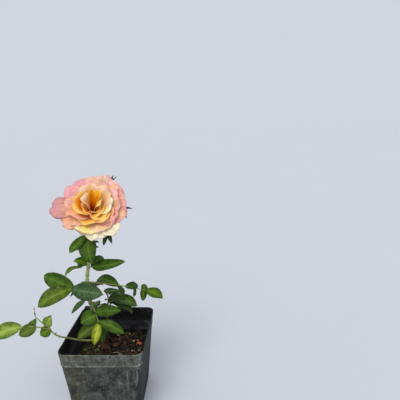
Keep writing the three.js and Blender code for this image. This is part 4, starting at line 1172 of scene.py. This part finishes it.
# The bloom: whorls of petals on the hip, each an arc that opens away from the axis, with rolled and ruffled
# margins
bloom = {
    "seat": (-4, -2, 302), "rise": 31, "turn": 5, "seed": 11,
    "across": 15, "along": 26, "lineSteps": 60,  # a petal's grid from its midline to one margin and along it
    "thickness": 0.4, "sepalThickness": 0.4,
    "footWidth": 0.25, "roundness": 0.15, "unevenRim": 0.05,  # shares of a petal's width and length
    "notchDepth": 0.04, "notchWidth": 0.2, "notchSpread": 0.8,
    "pleat": 0.6, "billow": 1.5, "buckle": 1.2, "roll": 3,  # how far its sheet strays in mm
    "flutter": 0.4,  # share of its ruffle that a second, shorter wave has
    "rimShade": 0.7,
    "hipRadius": 4.6, "hipDepth": 9, "hipSides": 28,
    "hipProfile": [(0.45, -1.0), (0.75, -0.95), (0.95, -0.75), (1.05, -0.45), (1.0, -0.2), (1.12, 0.0),
                   (0.9, 0.12)],
    # angle and length of each sepal, and how far its side lobe swings out
    "sepals": [(-66, 48, -36), (3, 42, -58), (70, 49, -18), (140, 42, -36), (212, 42, -36)],
    "sepalWidth": 9, "lobeWidth": 6, "lobeFrom": 0.6, "lobeShare": 0.42,  # a side lobe near each tip
}
# petal colours: base, face, margin, rim
petalPaint = {
    "dusty": ("#e8a470", "#d89c92", "#d09298", "#9c6476"),
    "pink": ("#f6b47a", "#f4bbac", "#f3abb0", "#bc7884"),
    "lilac": ("#fac888", "#fad0b4", "#f9bdb8", "#c48c96"),
    "salmon": ("#fab868", "#fac49c", "#f7aca4", "#c8888e"),
    "peach": ("#f4b454", "#f2c79c", "#f0bba6", "#d89c92"),
    "apricot": ("#f09434", "#f3b27c", "#f1b49c", "#dc9c8c"),
    "cream": ("#f6b850", "#f6cc94", "#f0c8a0", "#a8786c"),
    "pale": ("#f8c870", "#fce4bc", "#fdeed2", "#f0c2b0"),
    "yellow": ("#f0a420", "#fad674", "#fce8a4", "#f6d09c"),
    "gold": ("#e67a02", "#fbae40", "#fdca6c", "#f6bc80"),
    "wall": ("#ee9418", "#f8bc80", "#facfae", "#f6bca2"),
    "rosy": ("#e67a04", "#f9aa4c", "#f7ac94", "#ea9a92"),
    # painted shade: the dark orange-brown bases of lip and deep, over the petals' own orange, darken the
    # heart
    "lip": ("#b85202", "#ee8806", "#fac46c", "#f6c690"),
    "deep": ("#a44402", "#e48404", "#f4ac2c", "#f8ca70"),
}
petalPaint = {name: [linear(colour) for colour in colours] for name, colours in petalPaint.items()}
# each whorl: how far from its axis it starts, where that axis stands, how it leans, then its petals: angle,
# length, width, slope at the foot and at the end, further curl, ruffle, pinch of one corner towards the axis,
# paint
petalColumns = ("angle", "length", "wide", "from", "to", "curl", "ruffle", "pinch", "paint")
whorls = {
    "petalsOuter": (4, (0, 0), (0, 0), [
        (180, 57, 30, 62, 98, 10, 1.8, 0, "dusty"),
        (352, 39, 42, 56, 90, 24, 3.0, 0, "salmon"),
        (34, 40, 38, 54, 88, 30, 3.0, 0, "salmon"),
        (66, 43, 36, 56, 86, 14, 3.2, 0, "lilac"),
        (98, 43, 42, 52, 84, 24, 3.0, 0, "peach"),
        (140, 45, 36, 54, 84, 8, 3.0, 0, "pink"),
        (204, 46, 34, 58, 92, 16, 3.2, 0, "apricot"),
        (234, 38, 32, 60, 94, 16, 3.0, 0, "cream"),
        (273, 42, 34, 58, 92, 18, 3.2, 0, "pale"),
        (306, 43, 26, 58, 92, 14, 3.0, 0, "pale"),
    ]),
    "petalsMiddle": (3.6, (-1, -1), (0.04, 0.04), [
        (16, 35, 38, 42, 72, 34, 3.0, 0, "salmon"),
        (50, 36, 34, 44, 76, 30, 3.0, 0, "lilac"),
        (84, 37, 36, 40, 66, 30, 2.8, 0, "peach"),
        (122, 41, 30, 46, 72, 24, 3.2, 0, "pink"),
        (152, 40, 30, 40, 68, 34, 3.2, 0, "pink"),
        (190, 41, 36, 42, 66, 30, 2.8, 0.25, "apricot"),
        (216, 38, 30, 48, 76, 24, 2.8, 0.1, "apricot"),
        (246, 38, 38, 50, 78, 18, 2.2, 0, "yellow"),
        (288, 36, 34, 48, 78, 26, 2.8, 0, "wall"),
        (326, 35, 34, 44, 74, 34, 2.8, 0, "salmon"),
    ]),
    "petalsInner": (3, (-4, -4), (0.13, 0.18), [
        (4, 33, 30, 26, 50, 44, 2.4, 0, "pale"),
        (52, 36, 34, 24, 46, 36, 2.2, 0, "wall"),
        (108, 37, 34, 26, 46, 34, 2.2, 0, "wall"),
        (148, 37, 28, 34, 54, 44, 2.4, 0.1, "peach"),
        (196, 36, 40, 37, 57, 34, 2.2, 0.1, "rosy"),
        (187, 36, 44, 27, 43, 46, 1.8, 0.2, "lip"),
        (238, 33, 40, 34, 56, 26, 2.0, 0, "gold"),
        (314, 34, 38, 38, 64, 34, 2.6, -0.2, "rosy"),
        (308, 32, 40, 34, 58, 34, 2.4, -0.3, "gold"),
        (300, 30, 40, 27, 50, 34, 2.0, -0.38, "gold"),
    ]),
    "petalsHeart": (2.0, (-7, -6), (0.22, 0.34), [
        (74, 35, 40, 6, 20, 34, 1.6, 0, "deep"),
        (172, 34, 40, 10, 20, 60, 1.4, 0.3, "wall"),
        (10, 31, 30, 6, 20, 60, 1.4, 0, "gold"),
        (226, 27, 34, 18, 36, 24, 1.2, 0.15, "gold"),
        (306, 27, 36, 24, 46, 30, 1.6, -0.35, "gold"),
        (298, 24, 34, 16, 34, 28, 1.6, -0.35, "lip"),
    ]),
}

turnBy, riseBy = math.radians(bloom["turn"]), math.radians(bloom["rise"])
level = math.cos(riseBy)
bloomRight = Vector((math.cos(turnBy), math.sin(turnBy), 0))
bloomAxis = Vector((math.sin(turnBy) * level, -math.cos(turnBy) * level, math.sin(riseBy)))
bloomTurn = Matrix((bloomRight, bloomAxis.cross(bloomRight), bloomAxis)).transposed()


def inBloom(point):
    return bloomTurn @ Vector(point) + Vector(bloom["seat"])


def petalLine(petal):
    # radius and height along a petal's midline, as its slope turns from one angle to the other and then curls
    radius, height, line, steps = petal["start"], 0.0, [], bloom["lineSteps"]
    for k in range(steps + 1):
        line.append((radius, height))
        v = (k + 0.5) / steps
        slope = petal["from"] + (petal["to"] - petal["from"]) * v + petal["curl"] * smoothStep(0.72, 1, v)
        radius += math.sin(math.radians(slope)) * petal["length"] / steps
        height += math.cos(math.radians(slope)) * petal["length"] / steps
    return line


def petalPoint(petal, u, v):
    # u runs across from -1 to 1 and v along from 0 to 1; noises and waves bend and ruffle the plain arc
    grain, ruffle, foot = petal["phase"], petal["ruffle"], bloom["footWidth"]
    notch = bloom["notchDepth"] * math.exp(-((u - petal["notch"]) / bloom["notchWidth"]) ** 2) * v
    share = v * (1 - bloom["roundness"] * abs(u) ** 3 - notch)
    share *= 1 + bloom["unevenRim"] * noise.noise(Vector((u * 2.6, v * 1.5, grain))) * v
    step = share * bloom["lineSteps"]
    k = min(int(step), bloom["lineSteps"] - 1)
    low, high = petal["line"][k], petal["line"][k + 1]
    radius, height = [low[n] + (high[n] - low[n]) * (step - k) for n in (0, 1)]
    half = petal["wide"] / 2 * (foot + (1 - foot) * math.sin(math.pi / 2 * share ** 0.8))
    angle = math.radians(petal["angle"]) + u * min(half / radius, 1.1)
    if petal["pinch"]:
        radius *= 1 - abs(petal["pinch"]) * smoothStep(0.1, 1, math.copysign(1, petal["pinch"]) * u)
    margin = max(abs(u), v) ** 4 * smoothStep(0.15, 0.6, v)
    lift = ruffle * share ** 3 * math.sin(grain + 4.2 * u)
    lift += bloom["flutter"] * ruffle * margin * math.sin(2.3 * grain + 10 * u + 6 * v)
    lift += bloom["billow"] * share * noise.noise(Vector((u * 2.2, v * 2.2, grain + 7)))
    lift += bloom["pleat"] * math.sin(grain * 5 + 17 * u) * share * (1 - share) * 2
    lift -= petal["roll"] * abs(u) ** 5 * smoothStep(0.2, 0.7, v)
    lift += height
    radius += bloom["buckle"] * share * noise.noise(Vector((u * 2, v * 2, grain + 19)))
    (x, y), (leanX, leanY) = petal["axis"], petal["lean"]
    return Vector((x + leanX * lift + radius * math.cos(angle),
                   y + leanY * lift + radius * math.sin(angle), lift))


def petalTone(petal, u, v):
    base, face, margin, rim = petalPaint[petal["paint"]]
    edge = max(abs(u) ** 3 * smoothStep(0.15, 0.6, v), v ** 3)
    uneven = 0.18 * math.sin(petal["phase"] * 3 + 5 * u + 3 * v)
    tone = blendOf(base, face, smoothStep(0.15, 0.62, v + 0.5 * uneven))
    tone = blendOf(tone, margin, smoothStep(0.3, 0.9, edge + uneven))
    return blendOf(tone, rim, bloom["rimShade"] * smoothStep(0.94, 1.0, edge + 0.1 * uneven))


def addPetal(sheets, petal):
    across, steps = bloom["across"], bloom["along"]
    petal["line"] = petalLine(petal)
    us = [i / across for i in range(across, -across - 1, -1)]
    vs = [j / steps for j in range(steps + 1)]
    sheets.addGrid([[inBloom(petalPoint(petal, u, v)) for u in us] for v in vs],
                   [[(0.5 + 0.5 * u, v) for u in us] for v in vs],
                   [[petalTone(petal, u, v) for u in us] for v in vs])


def makePetalSkin(name, wash=None):
    # Rose petal: velvety papillae scatter light softly, light glows through, and fine veins fan out from the
    # base, drawn about 1 mm apart so that they show
    look = {"Roughness": 0.7, "IOR": 1.4, "Specular IOR Level": 0.08, "Subsurface Weight": 0.18,
            "Subsurface Scale": 0.0015, "Subsurface Radius": (1.0, 0.6, 0.15)}
    shades = [(0.34, (0.8, 0.76, 0.76, 1)), (0.66, (1.02, 1.12, 1.12, 1))]
    return patternedMaterial(name, look, ((26.0, 2.2, 1.0), 1.0, 4.0, 0.6), shades, (0.3, 0.5),
                             onSheet=True, overTones=True, wash=wash)


def makeBloom():
    draw = seeded(bloom["seed"])
    skins = [makePetalSkin("rose petal"), makePetalSkin("reverse of a rose petal", (0.35, "#f0a860"))]
    for name, (foot, axis, lean, petals) in whorls.items():
        sheets = Sheets()
        for row in petals:
            addPetal(sheets, {
                **dict(zip(petalColumns, row)), "start": foot, "axis": axis, "lean": lean,
                "phase": fullTurn * draw(), "notch": bloom["notchSpread"] * (draw() - 0.5),
                "roll": bloom["roll"] * draw(),
            })
        place(thicken(sheets.build(name, skins), bloom["thickness"], underside=1), "petal", "bloom")


def makeHip(size, material):
    # the green cup under the petals, its five sepals turned back against them
    radius, depth, sides = size["hipRadius"], size["hipDepth"], size["hipSides"]
    green = linear("#5f7f3c")
    cup = Sheets()
    cup.addClosed([[inBloom((radius * out * c, radius * out * s, depth * z)) for c, s in circle(sides)]
                   for out, z in size["hipProfile"]], tones=[[green] * sides] * len(size["hipProfile"]))
    place(cup.build("hip", [material]), "cane", "bloom")
    sepals = Sheets()
    for i, (turn, length, swing) in enumerate(size["sepals"]):
        angle = math.radians(turn)
        outward = Vector((math.cos(angle), math.sin(angle), 0))
        end = petalLine({"length": length, "from": 72, "to": 100, "start": radius, "curl": 0})[-1]
        base, tip = outward * (0.8 * radius), outward * end[0]
        base.z, tip.z = -2, end[1] - 4
        root = base.lerp(tip, size["lobeFrom"])
        lobe = root + Matrix.Rotation(math.radians(swing), 3, "Z") @ (tip - base) * size["lobeShare"]
        for foot, point, wide, arch, seed, *skew in ((base, tip, size["sepalWidth"], -1.5, i + 90, 1.0),
                                                     (root, lobe, size["lobeWidth"], 0, i + 95)):
            addBlade(sepals, inBloom(foot), inBloom(point), wide, 0, arch, bloomTurn @ outward, 0,
                     seeded(seed), *skew)
    # Sepal: leaf tissue, duller and browner, painted darker still as painted shade under the bloom
    skin = makeLeafMaterial("rose sepal in painted shade", ("#1e2412", "#3c4420", "#5e5a3c"), 0.5)
    piece = thicken(sepals.build("sepals", [skin, leafMaterials[-1]]), size["sepalThickness"], underside=1)
    place(piece, "leaf", "bloom")


makeBloom()
makeHip(bloom, caneSkin)
print("bloom opened")
